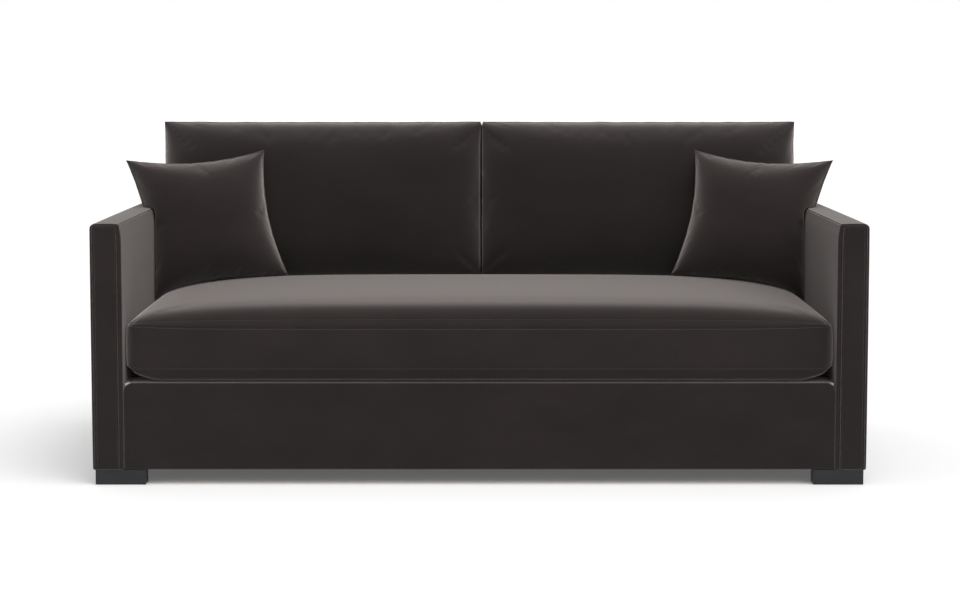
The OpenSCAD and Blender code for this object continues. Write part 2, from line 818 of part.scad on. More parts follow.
function seat_side_rise(y) = rise(max(0, y - seat_y0), seat_shoulder)
    * rise(max(0, seat_y1 - y), seat_shoulder);

function seat_surface_z(x, y) = seat_high_z + seat_crown * seat_end_rise(x) * seat_side_rise(y);

// The upper seam lifts towards the ends, and the top blends into it
function seat_top(u, v) = let (
    p = seat_xy(u, v, 0),
    lift = seat_corner_lift * pow(abs(u), 1 / seat_lift_share) * (1 - seat_side_rise(p.y))
) [p.x, p.y, seat_surface_z(p.x, p.y) + lift];

function seat_bottom(u, v) = let (
    p = seat_xy(u, v, 0),
    ends = sin(90 * min(1, (seat_half_w - abs(p.x)) / seat_shoulder)),
    sides = sin(90 * min(1, (seat_half_d - abs(p.y - seat_mid_y)) / seat_shoulder))
) [p.x, p.y, seat_low_z - seat_underside * ends * sides];

module seat_cushion_form() {
    top = [for (s = seat_top_shares) [for (p = square_ring(s, seat_side_shares)) seat_top(p.x, p.y)]];
    band = [for (p = square_ring(1, seat_side_shares)) let (
        xy = seat_xy(p.x, p.y, seat_band_swell)
    ) [xy.x, xy.y, (seat_low_z + seat_high_z) / 2]];
    bottom = [for (s = seat_bottom_shares) [for (p = square_ring(s, seat_side_shares))
        seat_bottom(p.x, p.y)]];
    ringed_solid(seat_top(0, 0), concat(top, [band], bottom), seat_bottom(0, 0));
}

module seat_core_block(inset) {
    block([inset - seat_half_w, seat_y0 + inset, seat_low_z],
          [seat_half_w - inset, seat_y1 - inset, seat_high_z]);
}

module seat_cushion_core() {
    color("lemonchiffon") seat_core_block(cover_wall);
}

module seat_cushion_cover() {
    color([0.36, 0.34, 0.33]) difference() {
        seat_cushion_form();
        seat_core_block(cover_wall - rest_gap);
    }
}

module seat_cushion_zip() {
    color("black") block([-seat_zip_l / 2, seat_zip_y, seat_zip_z - zip_tape_w / 2],
                         [seat_zip_l / 2, seat_zip_y + zip_coil_t, seat_zip_z + zip_tape_w / 2]);
}

// Zip slider with its tapered nose, seen along its path
module zip_slider() {
    linear_extrude(zip_h) polygon([
        [0, -zip_w / 2], [zip_l * zip_nose_share, -zip_w / 2], [zip_l, -zip_w / 4],
        [zip_l, zip_w / 4], [zip_l * zip_nose_share, zip_w / 2], [0, zip_w / 2]
    ]);
}

module seat_zip_slider() {
    color("silver") translate([-seat_zip_l / 2, seat_zip_y + zip_coil_t + rest_gap, seat_zip_z])
        rotate([-90, 0, 0]) zip_slider();
}

// Back cushions
function back_form(side) = let (
    w = side < 0 ? left_back_w : right_back_w,
    pulls = back_pull_shares
) [[w, back_cushion_t, back_cushion_h],
   side < 0 ? pulls : [pulls[1], pulls[0], pulls[2], pulls[3]],
   back_edge_share, back_fullness_share, 0];

module at_back_cushion(side) {
    translate([side < 0 ? left_back_x : right_back_x, back_cushion_mid_y, back_cushion_mid_z])
        rotate([-back_rake, 0, 0]) children();
}

module back_cushion_core(side) {
    color("lemonchiffon") at_back_cushion(side) knife_edge_core(back_form(side), cover_wall);
}

module back_cushion_cover(side) {
    color([0.2, 0.18, 0.175]) at_back_cushion(side) difference() {
        knife_edge_shape(back_form(side));
        knife_edge_core(back_form(side), cover_wall - rest_gap);
    }
}

// Slider of the zip in the lower edge, clear of that edge at both ends of the zip
module back_zip_slider(side) {
    form = back_form(side);
    zip_l_share = 1 - 2 * back_zip_margin / form[0].x;
    seam_z = cushion_point(zip_l_share, -1, -1, form).z;
    color("silver") at_back_cushion(side)
        translate([-zip_l_share * form[0].x / 2, 0, seam_z - rest_gap - zip_h]) zip_slider();
}

// Throw pillows, each pressed flat where it meets the inside of its arm
module at_pillow() {
    translate([pillow_x, pillow_y, pillow_z])
        rotate([-pillow_lean, -pillow_roll, pillow_turn]) children();
}

module beyond_left_arm(gap) {
    block([-2 * x_out, y_front, 0], [gap - x_in, y_rear, arm_h + gap]);
}

module pillow_core_shape(inset) {
    difference() {
        at_pillow() knife_edge_core(pillow_form, inset);
        beyond_left_arm(inset);
    }
}

module pillow_core(side) {
    color("lemonchiffon") on_side(-side) pillow_core_shape(cover_wall);
}

module pillow_cover(side) {
    color([0.24, 0.22, 0.21]) on_side(-side) difference() {
        at_pillow() knife_edge_shape(pillow_form);
        beyond_left_arm(rest_gap);
        pillow_core_shape(cover_wall - rest_gap);
    }
}

front_rail();
rear_rail();
seat_end_rail(-1);  // left_seat_end_rail
seat_end_rail(1);  // right_seat_end_rail
seat_stretchers();
corner_blocks();
back_post(rail_t / 2 - x_in);  // left_back_post
back_post(x_in - rail_t / 2);  // right_back_post
inner_back_posts();
back_top_rail();
back_tack_rail();
back_webbing();
seat_springs();
spring_clips();
spring_tie_wires();
deck_pad();
deck_cloth();
front_padding();
front_cover();
inside_back_padding();
inside_back_cover();
outside_back_liner();
outside_back_cover();
dust_cover();
arm_front_post(-1);  // left_arm_front_post
arm_rear_post(-1);  // left_arm_rear_post
arm_top_rail(-1);  // left_arm_top_rail
arm_bottom_rail(-1);  // left_arm_bottom_rail
arm_liners(-1);  // left_arm_liners
arm_padding(-1);  // left_arm_padding
arm_cover(-1);  // left_arm_cover
arm_front_post(1);  // right_arm_front_post
arm_rear_post(1);  // right_arm_rear_post
arm_top_rail(1);  // right_arm_top_rail
arm_bottom_rail(1);  // right_arm_bottom_rail
arm_liners(1);  // right_arm_liners
arm_padding(1);  // right_arm_padding
arm_cover(1);  // right_arm_cover
arm_bolts();
arm_inserts();
foot(-1, 1);  // front_left_foot
foot(1, 1);  // front_right_foot
foot(-1, -1);  // rear_left_foot
foot(1, -1);  // rear_right_foot
foot_screws();
foot_glides();
seat_cushion_core();
seat_cushion_cover();
seat_cushion_zip();
seat_zip_slider();
back_cushion_core(-1);  // left_back_cushion_core
back_cushion_cover(-1);  // left_back_cushion_cover
back_cushion_core(1);  // right_back_cushion_core
back_cushion_cover(1);  // right_back_cushion_cover
pillow_core(-1);  // left_pillow_core
pillow_cover(-1);  // left_pillow_cover
pillow_core(1);  // right_pillow_core
pillow_cover(1);  // right_pillow_cover
back_zip_slider(-1);  // left_back_zip_slider
back_zip_slider(1);  // right_back_zip_slider
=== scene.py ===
"""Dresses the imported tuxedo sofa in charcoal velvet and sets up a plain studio.

All lengths are in metres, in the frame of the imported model: the sofa stands on z = 0,
is centred on x = 0 and faces -Y.
"""

import json
import math

import bpy
import numpy as np
from mathutils import Matrix, Vector


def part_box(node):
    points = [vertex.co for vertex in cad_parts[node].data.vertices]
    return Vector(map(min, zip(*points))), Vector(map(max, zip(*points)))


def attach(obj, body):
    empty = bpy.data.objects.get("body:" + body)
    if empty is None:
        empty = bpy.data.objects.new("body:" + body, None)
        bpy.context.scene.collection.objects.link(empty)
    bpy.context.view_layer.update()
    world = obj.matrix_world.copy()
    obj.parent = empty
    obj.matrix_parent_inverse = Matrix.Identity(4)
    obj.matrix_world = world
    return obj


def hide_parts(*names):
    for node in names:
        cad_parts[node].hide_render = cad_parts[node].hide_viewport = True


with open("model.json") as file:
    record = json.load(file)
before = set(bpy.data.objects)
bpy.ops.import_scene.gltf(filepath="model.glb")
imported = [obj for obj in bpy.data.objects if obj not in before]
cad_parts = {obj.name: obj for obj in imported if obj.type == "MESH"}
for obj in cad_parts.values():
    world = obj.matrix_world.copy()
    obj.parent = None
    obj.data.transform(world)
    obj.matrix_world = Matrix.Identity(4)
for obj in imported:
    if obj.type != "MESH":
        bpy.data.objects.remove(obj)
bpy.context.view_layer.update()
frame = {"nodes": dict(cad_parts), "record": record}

# Sofa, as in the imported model
X_IN = 0.911
X_OUT = 0.990
Y_FRONT = -0.4825
Y_REAR = 0.4825
BASE_Z = 0.039
DECK_Z = 0.264
ARM_Z = 0.671
BACK_RAKE = math.radians(8)
INSIDE_BACK_Y = 0.3375
ARM_EDGE = 0.009

# Seat cushion
SEAT_HALF_W = 0.9015
SEAT_Y0 = -0.4575
SEAT_Y1 = 0.3325
SEAT_LOW = 0.2923
SEAT_HIGH = 0.4003
SEAT_UNDER = 0.028
SEAT_CROWN = 0.080
SEAT_MID_Y = (SEAT_Y0 + SEAT_Y1) / 2
SEAT_HALF_D = (SEAT_Y1 - SEAT_Y0) / 2
SEAT_CORNER = 0.026
SEAT_END_ROLL = 0.090
SEAT_SIDE_ROLL = 0.030
# 1 rolls the lower edge round, and less makes it squarer
SEAT_ROLL_POWER = 0.72
SEAT_SWELL = 0.0025
# How far the soft cushion spreads past its packed form, towards the arms
SEAT_SPREAD = 0.0045
# How far its lower front seam settles forward of its upper one
SEAT_SETTLE = 0.007

SPRING_PITCH = 0.1762
FEET = ("front_left_foot", "front_right_foot", "rear_left_foot", "rear_right_foot")
# Name of each side, by the sign of its x
SIDES = {-1: "left", 1: "right"}

# Gap kept between soft pieces that touch
REST_GAP = 0.0006
# Gap that the seat and back cushions keep from the arms' inner faces
ARM_GAP = 0.0020
# A point nearer to a face than this lies on it
ON_FACE = 1e-6
# Least length to divide by
TINY = 1e-12


# Small helpers

def back_y(z):
    """Depth of the inside back at height z."""
    return INSIDE_BACK_Y + (z - DECK_Z) * math.tan(BACK_RAKE)


def rise(distance, length):
    """Climbs from 0 towards 1 with distance, most of it within a length."""
    return 1 - np.exp(-distance / length)


def node_box(name):
    """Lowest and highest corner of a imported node, as arrays."""
    low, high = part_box(name)
    return np.array(low), np.array(high)


def bump(distance, width):
    """Smooth bell of height 1 round a line."""
    return np.exp(-(distance / width) ** 2)


def smooth(share):
    """Eases from 0 to 1 as a share goes from 0 to 1."""
    share = np.clip(share, 0, 1)
    return share * share * (3 - 2 * share)


def wobble(along, wavelength, seed):
    """Smooth irregular wave between about -1 and 1."""
    rng = np.random.default_rng(seed)
    total = np.zeros_like(along)
    for _ in range(5):
        stretch = rng.uniform(0.6, 1.9)
        phase = rng.uniform(0, 2 * math.pi)
        total += np.sin(2 * math.pi * along / (wavelength * stretch) + phase)
    return total / 3


def graded(length, step, fine, edge, growth=1.3):
    """Places from 0 to length: fine steps within edge of both ends, full steps between."""
    places = [0.0]
    gap = fine
    while places[-1] < length / 2:
        places.append(places[-1] + gap)
        if places[-1] > edge:
            gap = min(step, gap * growth)
    half = np.array(places) * (length / 2 / places[-1])
    return np.concatenate([half, (length - half[:-1])[::-1]])


def span(low, high, step, fine, edge):
    """Graded places from low to high."""
    return low + graded(high - low, step, fine, edge)


def with_lines(places, lines, fine, reach):
    """Adds places a fine step apart round each line, and drops old ones too near."""
    low, high = places[0], places[-1]
    for line in lines:
        extra = np.arange(line - reach, line + reach + fine / 2, fine)
        extra = extra[(extra > low) & (extra < high)]
        kept = places[(places < line - reach - fine / 2) | (places > line + reach + fine / 2)]
        places = np.sort(np.concatenate([kept, extra]))
        places = np.unique(np.concatenate([[low], places, [high]]))
    return places


def resample(grid, old_u, old_v, new_u, new_v):
    """Smoothly resamples a grid of vectors from old to new places."""
    for axis, old, new in ((0, old_u, new_u), (1, old_v, new_v)):
        spot = np.interp(new, old, np.arange(len(old)))
        low = np.clip(np.floor(spot).astype(int), 0, len(old) - 2)
        t = (spot - low).reshape((-1, 1, 1))
        moved = np.moveaxis(grid, axis, 0)
        points = [moved[np.clip(low + k, 0, len(old) - 1)] for k in (-1, 0, 1, 2)]
        weights = [(-t + 2 * t ** 2 - t ** 3) / 2, (2 - 5 * t ** 2 + 3 * t ** 3) / 2,
                   (t + 4 * t ** 2 - 3 * t ** 3) / 2, (t ** 3 - t ** 2) / 2]
        grid = np.moveaxis(sum(w * p for w, p in zip(weights, points)), 0, axis)
    return grid


def run_along(points):
    """Distance along a path to each of its points."""
    return np.concatenate([[0], np.cumsum(np.linalg.norm(np.diff(points, axis=0), axis=1))])


def grid_of(us, vs):
    """Both coordinates of each point of a grid."""
    return np.meshgrid(us, vs, indexing="ij")


# Meshes

def vertex_normals(verts, quads):
    """Unit normals from the quads' own normals, weighted by area."""
    a, b, c, d = (verts[quads[:, k]] for k in range(4))
    face = np.cross(c - a, d - b)
    normals = np.zeros_like(verts)
    for k in range(4):
        np.add.at(normals, quads[:, k], face)
    return normals / np.maximum(np.linalg.norm(normals, axis=1), TINY)[:, None]


def grid_quads(index, flip=False):
    """Quads over a grid of vertex numbers."""
    quads = np.stack([index[:-1, :-1], index[1:, :-1], index[1:, 1:], index[:-1, 1:]], axis=-1)
    quads = quads.reshape(-1, 4)
    return quads[:, ::-1] if flip else quads


def make_mesh(name, verts, faces):
    mesh = bpy.data.meshes.new(name)
    mesh.from_pydata([tuple(v) for v in verts], [], [tuple(int(i) for i in f) for f in faces])
    return mesh


def put(name, data):
    """An object that shows its data in the scene."""
    made = bpy.data.objects.new(name, data)
    bpy.context.scene.collection.objects.link(made)
    return made


def make_piece(name, verts, faces, body, slot, replaces=(), material=None, smooth=True):
    """A mesh object that rides on a body. Its material is its record slot's own, unless another is
    given."""
    mesh = make_mesh(name, verts, faces)
    mesh.validate()
    mesh.polygons.foreach_set("use_smooth", [smooth] * len(mesh.polygons))
    mesh.materials.append(material or MATERIALS[slot])
    piece = put(name, mesh)
    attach(piece, body)
    if replaces:
        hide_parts(*replaces)
    return piece


def box_lattice(xs, ys, zs, open_sides=()):
    """Vertices and outward quads on the surface of a box of grid places."""
    shape = (len(xs), len(ys), len(zs))
    number = -np.ones(shape, dtype=int)
    surface = np.zeros(shape, dtype=bool)
    surface[[0, -1]] = True
    surface[:, [0, -1]] = True
    surface[:, :, [0, -1]] = True
    number[surface] = np.arange(surface.sum())
    i, j, k = np.nonzero(surface)
    verts = np.stack([xs[i], ys[j], zs[k]], axis=1)
    sides = {
        "-x": (number[0], True), "+x": (number[-1], False),
        "-y": (number[:, 0], False), "+y": (number[:, -1], True),
        "-z": (number[:, :, 0], True), "+z": (number[:, :, -1], False),
    }
    quads = [grid_quads(index, flip) for side, (index, flip) in sides.items()
             if side not in open_sides]
    return verts, np.concatenate(quads)


def tighten(z, low, loose, tight):
    """Squeezes the lowest part of a height, so that a rim there turns more tightly."""
    return np.where(z - low < loose, low + (z - low) * tight / loose, z - loose + tight)


def round_slab(p, low, high, corner, front, rear, lower=0.005):
    """Rounds a box that lies along Y: its upper corners in XZ, and its front and rear rims.
    The lower rim is tighter than the rest."""
    loose = max(front, rear)
    p = p.copy()
    p[:, 2] = tighten(p[:, 2], low[2], lower, loose)
    high = high + np.array([0, 0, loose - lower])
    out = p.copy()
    radius = np.where(p[:, 2] > (low[2] + high[2]) / 2, corner, loose)
    core_x = np.clip(p[:, 0], low[0] + radius, high[0] - radius)
    core_z = np.clip(p[:, 2], low[2] + loose, high[2] - corner)
    dx, dz = p[:, 0] - core_x, p[:, 2] - core_z
    reach = np.maximum(np.abs(dx), np.abs(dz))
    inward = radius - reach
    for rim, depth, face, sign in ((front, p[:, 1] - low[1], low[1], 1),
                                   (rear, high[1] - p[:, 1], high[1], -1)):
        a, b = rim - inward, rim - depth
        on_rim = (a > 0) & (b > 0)
        n = np.hypot(a, b)[on_rim]
        inward[on_rim] = rim - rim * a[on_rim] / n
        out[on_rim, 1] = face + sign * (rim - rim * b[on_rim] / n)
    turned = reach > 0
    scale = ((radius - inward) / np.maximum(np.hypot(dx, dz), TINY))[turned]
    out[turned, 0] = core_x[turned] + dx[turned] * scale
    out[turned, 2] = core_z[turned] + dz[turned] * scale
    out[:, 2] = tighten(out[:, 2], low[2], loose, lower)
    return out


# Half the stretch of path that a stitch's direction is measured on
STITCH_NEAR = 0.0005


def stitches(name, path, normals, body, slot="velvet", pitch=0.0042, thread=0.0005, length=0.003,
             skip=None):
    """Short threads, or staples in a metal slot, laid along a path on a surface, apart from
    places to skip. The surface has one normal, or one at each point of the path."""
    path = np.array(path)
    normals = np.broadcast_to(normals, path.shape)
    along = run_along(path)
    count = int(along[-1] / pitch)
    starts = (np.arange(count) + 0.5) * along[-1] / count

    def at(s, values):
        return np.stack([np.interp(s, along, values[:, k]) for k in range(3)], axis=1)

    if skip is not None:
        starts = starts[~skip(at(starts, path))]
        count = len(starts)
    centre, normal = at(starts, path), at(starts, normals)
    ahead = at(starts + STITCH_NEAR, path) - at(starts - STITCH_NEAR, path)
    ahead /= np.maximum(np.linalg.norm(ahead, axis=1), TINY)[:, None]
    side = np.cross(normal, ahead)
    template = [(-1, 0, -0.6), (-0.6, -1, 0.2), (-0.6, 0, 1), (-0.6, 1, 0.2),
                (0.6, -1, 0.2), (0.6, 0, 1), (0.6, 1, 0.2), (1, 0, -0.6)]
    verts = np.concatenate([centre + ahead * (t * length / 2) + side * (s * thread)
                            + normal * (h * thread) for t, s, h in template])
    shape = [(0, 2, 1), (0, 3, 2), (1, 2, 5, 4), (2, 3, 6, 5), (7, 4, 5), (7, 5, 6),
             (0, 1, 4, 7), (0, 7, 6, 3)]
    faces = [tuple(k * count + n for k in face) for n in range(count) for face in shape]
    return make_piece(name, verts, faces, body, slot,
                      material=THREAD if slot == "velvet" else None)


# Materials

def join(tree, socket, value):
    """Gives an input a value, or links another node's output to it."""
    if isinstance(value, bpy.types.NodeSocket):
        tree.links.new(value, socket)
    else:
        socket.default_value = value


def add(tree, kind, settings=None, **inputs):
    """A node with its settings and inputs; an input is a value or another node's output."""
    made = tree.nodes.new(kind)
    for key, value in (settings or {}).items():
        setattr(made, key, value)
    for key, value in inputs.items():
        join(tree, made.inputs[key.replace("_", " ")], value)
    return made


def own_place(tree, stretch=(1, 1, 1)):
    """Place in the object's own metres, stretched on each axis."""
    place = add(tree, "ShaderNodeTexCoord").outputs["Object"]
    return add(tree, "ShaderNodeMapping", Vector=place, Scale=stretch).outputs[0]


def grey_noise(tree, scale, detail=3, stretch=(1, 1, 1), rough=0.55):
    return add(tree, "ShaderNodeTexNoise", Vector=own_place(tree, stretch), Scale=scale,
               Detail=detail, Roughness=rough).outputs["Fac"]


def ramp(tree, value, low, high, dark, light):
    """Blends two colours as a value goes from low to high."""
    made = add(tree, "ShaderNodeValToRGB", Fac=value)
    first, last = made.color_ramp.elements
    first.position, first.color = low, (*dark, 1)
    last.position, last.color = high, (*light, 1)
    return made.outputs["Color"]


def mix(tree, factor, a, b, blend="MIX"):
    """Blends two colours by a factor."""
    made = add(tree, "ShaderNodeMix", {"data_type": "RGBA", "blend_type": blend}, Factor=factor)
    join(tree, made.inputs[6], a)
    join(tree, made.inputs[7], b)
    return made.outputs[2]


def combine(tree, operation, a, b):
    """Works out one number from two."""
    made = add(tree, "ShaderNodeMath", {"operation": operation})
    join(tree, made.inputs[0], a)
    join(tree, made.inputs[1], b)
    return made.outputs[0]


def spread_value(tree, value, low, high):
    """Stretches a value between 0 and 1 to a range."""
    return add(tree, "ShaderNodeMapRange", Value=value, To_Min=low, To_Max=high).outputs["Result"]


def add_bump(tree, height, distance, strength, **under):
    """Relief from a height, over another relief if that is given as Normal."""
    return add(tree, "ShaderNodeBump", Height=height, Distance=distance, Strength=strength,
               **under).outputs["Normal"]


def pointiness(tree):
    """Over a half on ridges, and under it in valleys."""
    return add(tree, "ShaderNodeNewGeometry").outputs["Pointiness"]


def new_material(name):
    """An empty material and its tree, ready for nodes."""
    made = bpy.data.materials.new(name)
    made.use_nodes = True
    return made, made.node_tree


def shade(material, **inputs):
    """Sets or links inputs of a material's shader, and returns the material."""
    tree = material.node_tree
    for key, value in inputs.items():
        join(tree, tree.nodes["Principled BSDF"].inputs[key.replace("_", " ")], value)
    return material


def grey(level):
    return (level, level, level)


def velvet(name, deep, light, sheen):
    """Cut-pile velvet: dark when faced, pale at the edge of sight, brushed in soft patches."""
    made, tree = new_material(name)
    brushed = grey_noise(tree, 5.0, detail=4, stretch=(1, 1, 1.6))
    streaks = grey_noise(tree, 38, stretch=(0.35, 1, 1.6))
    nap = grey_noise(tree, 420, detail=2, stretch=(1, 1, 0.35))
    pile = grey_noise(tree, 1700, detail=1)
    wear_and_valley_shade = pointiness(tree)
    tone = ramp(tree, brushed, 0.35, 0.68, deep, light)
    layers = ((streaks, 0.30, 0.72, grey(0.88), grey(1.11)),
              (nap, 0.30, 0.70, grey(0.90), grey(1.10)),
              # Paler ridges are worn pile; the darker valleys are painted shade.
              (wear_and_valley_shade, 0.50, 0.60, grey(1), (1.5, 1.47, 1.45)),
              (wear_and_valley_shade, 0.41, 0.49, grey(0.35), grey(1)))
    for layer in layers:
        tone = mix(tree, 1.0, tone, ramp(tree, *layer), "MULTIPLY")
    relief = add_bump(tree, pile, 0.0004, 0.35)
    relief = add_bump(tree, streaks, 0.0010, 0.30, Normal=relief)
    return shade(made, Base_Color=tone, Roughness=spread_value(tree, streaks, 0.80, 0.98),
                 Normal=relief, Sheen_Weight=sheen, Sheen_Roughness=0.45,
                 Sheen_Tint=(1.0, 0.905, 0.87, 1), Specular_IOR_Level=0.15)


def thread_material():
    made, tree = new_material("velvet_thread")
    twist = grey_noise(tree, 2600, detail=1, stretch=(1, 1, 2))
    tone = ramp(tree, twist, 0.3, 0.7, (0.020, 0.0170, 0.0160), (0.042, 0.037, 0.035))
    return shade(made, Base_Color=tone, Roughness=spread_value(tree, twist, 0.5, 0.75),
                 Normal=add_bump(tree, twist, 0.0002, 0.5), Sheen_Weight=0.3, Sheen_Roughness=0.4)


def wood(name, dark, light, grain=(1, 14, 14)):
    """Wood with wavy rings and fine fibres."""
    made, tree = new_material(name)
    rings = add(tree, "ShaderNodeTexWave", Vector=own_place(tree, grain), Scale=3.0,
                Distortion=6.0, Detail=3.0).outputs["Fac"]
    fibres = grey_noise(tree, 90, detail=4, stretch=(0.1, 1, 1))
    tone = mix(tree, 0.35, ramp(tree, rings, 0.2, 0.9, dark, light),
               ramp(tree, fibres, 0.3, 0.7, dark, light))
    return shade(made, Base_Color=tone, Roughness=spread_value(tree, fibres, 0.55, 0.8),
                 Normal=add_bump(tree, fibres, 0.0004, 0.4))


def woven(name, dark, light, threads):
    """Plain weave with a given number of threads a metre, seen from any side."""
    made, tree = new_material(name)
    x, y, z = (add(tree, "ShaderNodeTexWave", {"bands_direction": axis}, Vector=own_place(tree),
                   Scale=threads / 20, Distortion=0.4).outputs["Fac"] for axis in "XYZ")
    height = combine(tree, "MAXIMUM", combine(tree, "MULTIPLY", x, y), z)
    soiled = grey_noise(tree, 9, detail=4)
    tone = mix(tree, 0.4, ramp(tree, height, 0.1, 0.8, dark, light),
               ramp(tree, soiled, 0.3, 0.7, dark, light))
    return shade(made, Base_Color=tone, Roughness=spread_value(tree, soiled, 0.82, 0.90),
                 Normal=add_bump(tree, height, 0.0004, 0.6), Sheen_Weight=0.25,
                 Sheen_Roughness=0.5)


def fibrefill(name, dark, light):
    """Matted wadding or open foam."""
    made, tree = new_material(name)
    clumps = grey_noise(tree, 70, detail=6, rough=0.7)
    pores = add(tree, "ShaderNodeTexVoronoi", Scale=600.0,
                Vector=own_place(tree)).outputs["Distance"]
    relief = add_bump(tree, pores, 0.0005, 0.5, Normal=add_bump(tree, clumps, 0.002, 0.5))
    return shade(made, Base_Color=ramp(tree, clumps, 0.3, 0.7, dark, light), Normal=relief,
                 Roughness=spread_value(tree, clumps, 0.85, 1.0))


def metal(name, dark, light):
    """Plain metal with scratches and stains."""
    made, tree = new_material(name)
    scratches = grey_noise(tree, 300, detail=4, stretch=(1, 1, 8))
    stains = grey_noise(tree, 40, detail=4)
    tone = mix(tree, 0.5, ramp(tree, stains, 0.3, 0.7, dark, light),
               ramp(tree, scratches, 0.3, 0.7, dark, light))
    return shade(made, Base_Color=tone, Roughness=spread_value(tree, scratches, 0.3, 0.5),
                 Normal=add_bump(tree, scratches, 0.0001, 0.3), Metallic=1.0)


def lacquer(name, dark, light):
    """Lacquered wood with a trace of grain and paler worn arrises."""
    made, tree = new_material(name)
    grain = grey_noise(tree, 120, detail=5, stretch=(0.12, 1, 1))
    worn_tone = ramp(tree, pointiness(tree), 0.52, 0.62, grey(1), grey(2.2))
    tone = mix(tree, 1.0, ramp(tree, grain, 0.3, 0.75, dark, light), worn_tone, "MULTIPLY")
    return shade(made, Base_Color=tone, Roughness=spread_value(tree, grain, 0.34, 0.50),
                 Normal=add_bump(tree, grain, 0.0003, 0.25), Coat_Weight=0.05,
                 Coat_Roughness=0.3, Specular_IOR_Level=0.3)


def plastic(name, dark, light):
    """Hard plastic with a fine speckle."""
    made, tree = new_material(name)
    speckle = grey_noise(tree, 900)
    return shade(made, Base_Color=ramp(tree, speckle, 0.35, 0.65, dark, light),
                 Roughness=spread_value(tree, speckle, 0.45, 0.65),
                 Normal=add_bump(tree, speckle, 0.0001, 0.4))


MATERIALS = {
    "velvet": velvet("charcoal_velvet", (0.0105, 0.0078, 0.0073), (0.0152, 0.0113, 0.0107), 0.80),
    "frame_wood": wood("frame_wood", (0.36, 0.23, 0.12), (0.62, 0.46, 0.29)),
    "hardboard": wood("hardboard", (0.16, 0.09, 0.05), (0.25, 0.15, 0.09), (30, 30, 30)),
    "webbing": woven("jute_webbing", (0.20, 0.15, 0.09), (0.46, 0.38, 0.24), 400),
    "spring_steel": metal("spring_steel", (0.30, 0.31, 0.33), (0.56, 0.57, 0.59)),
    "padding": fibrefill("polyester_wadding", (0.72, 0.70, 0.65), (0.88, 0.86, 0.81)),
    "deck_cloth": woven("deck_cloth", (0.030, 0.028, 0.027), (0.068, 0.063, 0.060), 900),
    "dust_cloth": woven("dust_cloth", (0.012, 0.012, 0.012), (0.030, 0.030, 0.030), 700),
    "cushion_fill": fibrefill("cushion_foam", (0.70, 0.62, 0.42), (0.87, 0.80, 0.60)),
    "zip_tape": woven("zip_tape", (0.012, 0.011, 0.011), (0.032, 0.030, 0.030), 2000),
    "zip_metal": metal("zip_metal", (0.12, 0.11, 0.10), (0.26, 0.24, 0.22)),
    "foot_lacquer": lacquer("foot_lacquer", (0.0060, 0.0066, 0.0080), (0.0093, 0.0100, 0.0119)),
    "fastener_steel": metal("zinc_steel", (0.45, 0.45, 0.47), (0.66, 0.66, 0.68)),
    "insert_brass": metal("insert_brass", (0.50, 0.36, 0.15), (0.76, 0.60, 0.30)),
    "glide_plastic": plastic("glide_plastic", (0.17, 0.17, 0.18), (0.26, 0.26, 0.27)),
}
# Deep tone, light tone and sheen of copies of the same velvet that stand in for light and shade: a
# darker one with little sheen on the arms' sides as painted shade, one with more sheen on the
# cushions as painted light, a paler one on the pillows as painted light, and a near-black one as
# painted shade where the two back cushions press together
LIT_AND_SHADED_VELVETS = {use: velvet(f"charcoal_velvet_{use}", *look) for use, look in {
    "sides": ((0.0100, 0.0074, 0.0070), (0.0146, 0.0109, 0.0102), 0.33),
    "cushions": ((0.0103, 0.0076, 0.0072), (0.0149, 0.0111, 0.0104), 1.0),
    "pillows": ((0.0158, 0.0117, 0.0110), (0.0228, 0.0170, 0.0159), 1.0),
    "crease_shade": ((0.0050, 0.0037, 0.0035), (0.0072, 0.0054, 0.0051), 0.05),
}.items()}
THREAD = thread_material()


def finish_cad_nodes():
    """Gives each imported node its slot's material, and the feet a small bevel."""
    for part in frame["record"]["subparts"]:
        node = frame["nodes"][part["node"]]
        node.data.materials.clear()
        node.data.materials.append(MATERIALS[part["material_slot"]])
    for name in FEET:
        bevel = frame["nodes"][name].modifiers.new("arris", "BEVEL")
        bevel.width = 0.0012
        bevel.segments = 2
        bevel.limit_method = "ANGLE"


# Cloth

# Settings of the cloth that the cushions are swelled with
CLOTH = {
    "quality": 6, "mass": 0.3, "tension_stiffness": 25, "compression_stiffness": 25,
    "shear_stiffness": 8, "bending_stiffness": 1.5, "air_damping": 4, "use_pressure": True,
    "uniform_pressure_force": 4.0, "vertex_group_mass": "seam", "pin_stiffness": 1.0,
}
SIM_FRAMES = 20


def add_sim(verts, quads, seam, growth):
    """A cloth object with its seams pinned."""
    sim = put("sim", make_mesh("sim", verts, quads))
    pins = sim.vertex_groups.new(name="seam")
    pins.add([int(i) for i in seam], 1.0, "REPLACE")
    cloth = sim.modifiers.new("cloth", "CLOTH")
    for key, value in CLOTH.items():
        setattr(cloth.settings, key, value)
    cloth.settings.shrink_min = -growth
    cloth.settings.effector_weights.gravity = 0
    cloth.collision_settings.use_collision = False
    cloth.point_cache.frame_start = 1
    cloth.point_cache.frame_end = SIM_FRAMES
    return sim


def inflate(pieces):
    """Swells closed meshes with their seams pinned. Each piece is (verts, quads, seam numbers,
    growth of the cloth, farthest a point may move); returns how far each point moved."""
    scene = bpy.context.scene
    sims = [add_sim(*piece[:-1]) for piece in pieces]
    for number in range(1, SIM_FRAMES + 1):
        scene.frame_set(number)
    moves = []
    depsgraph = bpy.context.evaluated_depsgraph_get()
    for sim, (verts, *_, limit) in zip(sims, pieces):
        done = sim.evaluated_get(depsgraph).to_mesh()
        flat = np.empty(len(verts) * 3)
        done.vertices.foreach_get("co", flat)
        move = flat.reshape(-1, 3) - verts
        length = np.maximum(np.linalg.norm(move, axis=1), TINY)[:, None]
        moves.append(move / length * limit * np.tanh(length / limit))
    for sim in sims:
        mesh = sim.data
        bpy.data.objects.remove(sim)
        bpy.data.meshes.remove(mesh)
    scene.frame_set(1)
    return moves


# Arms, front and backs

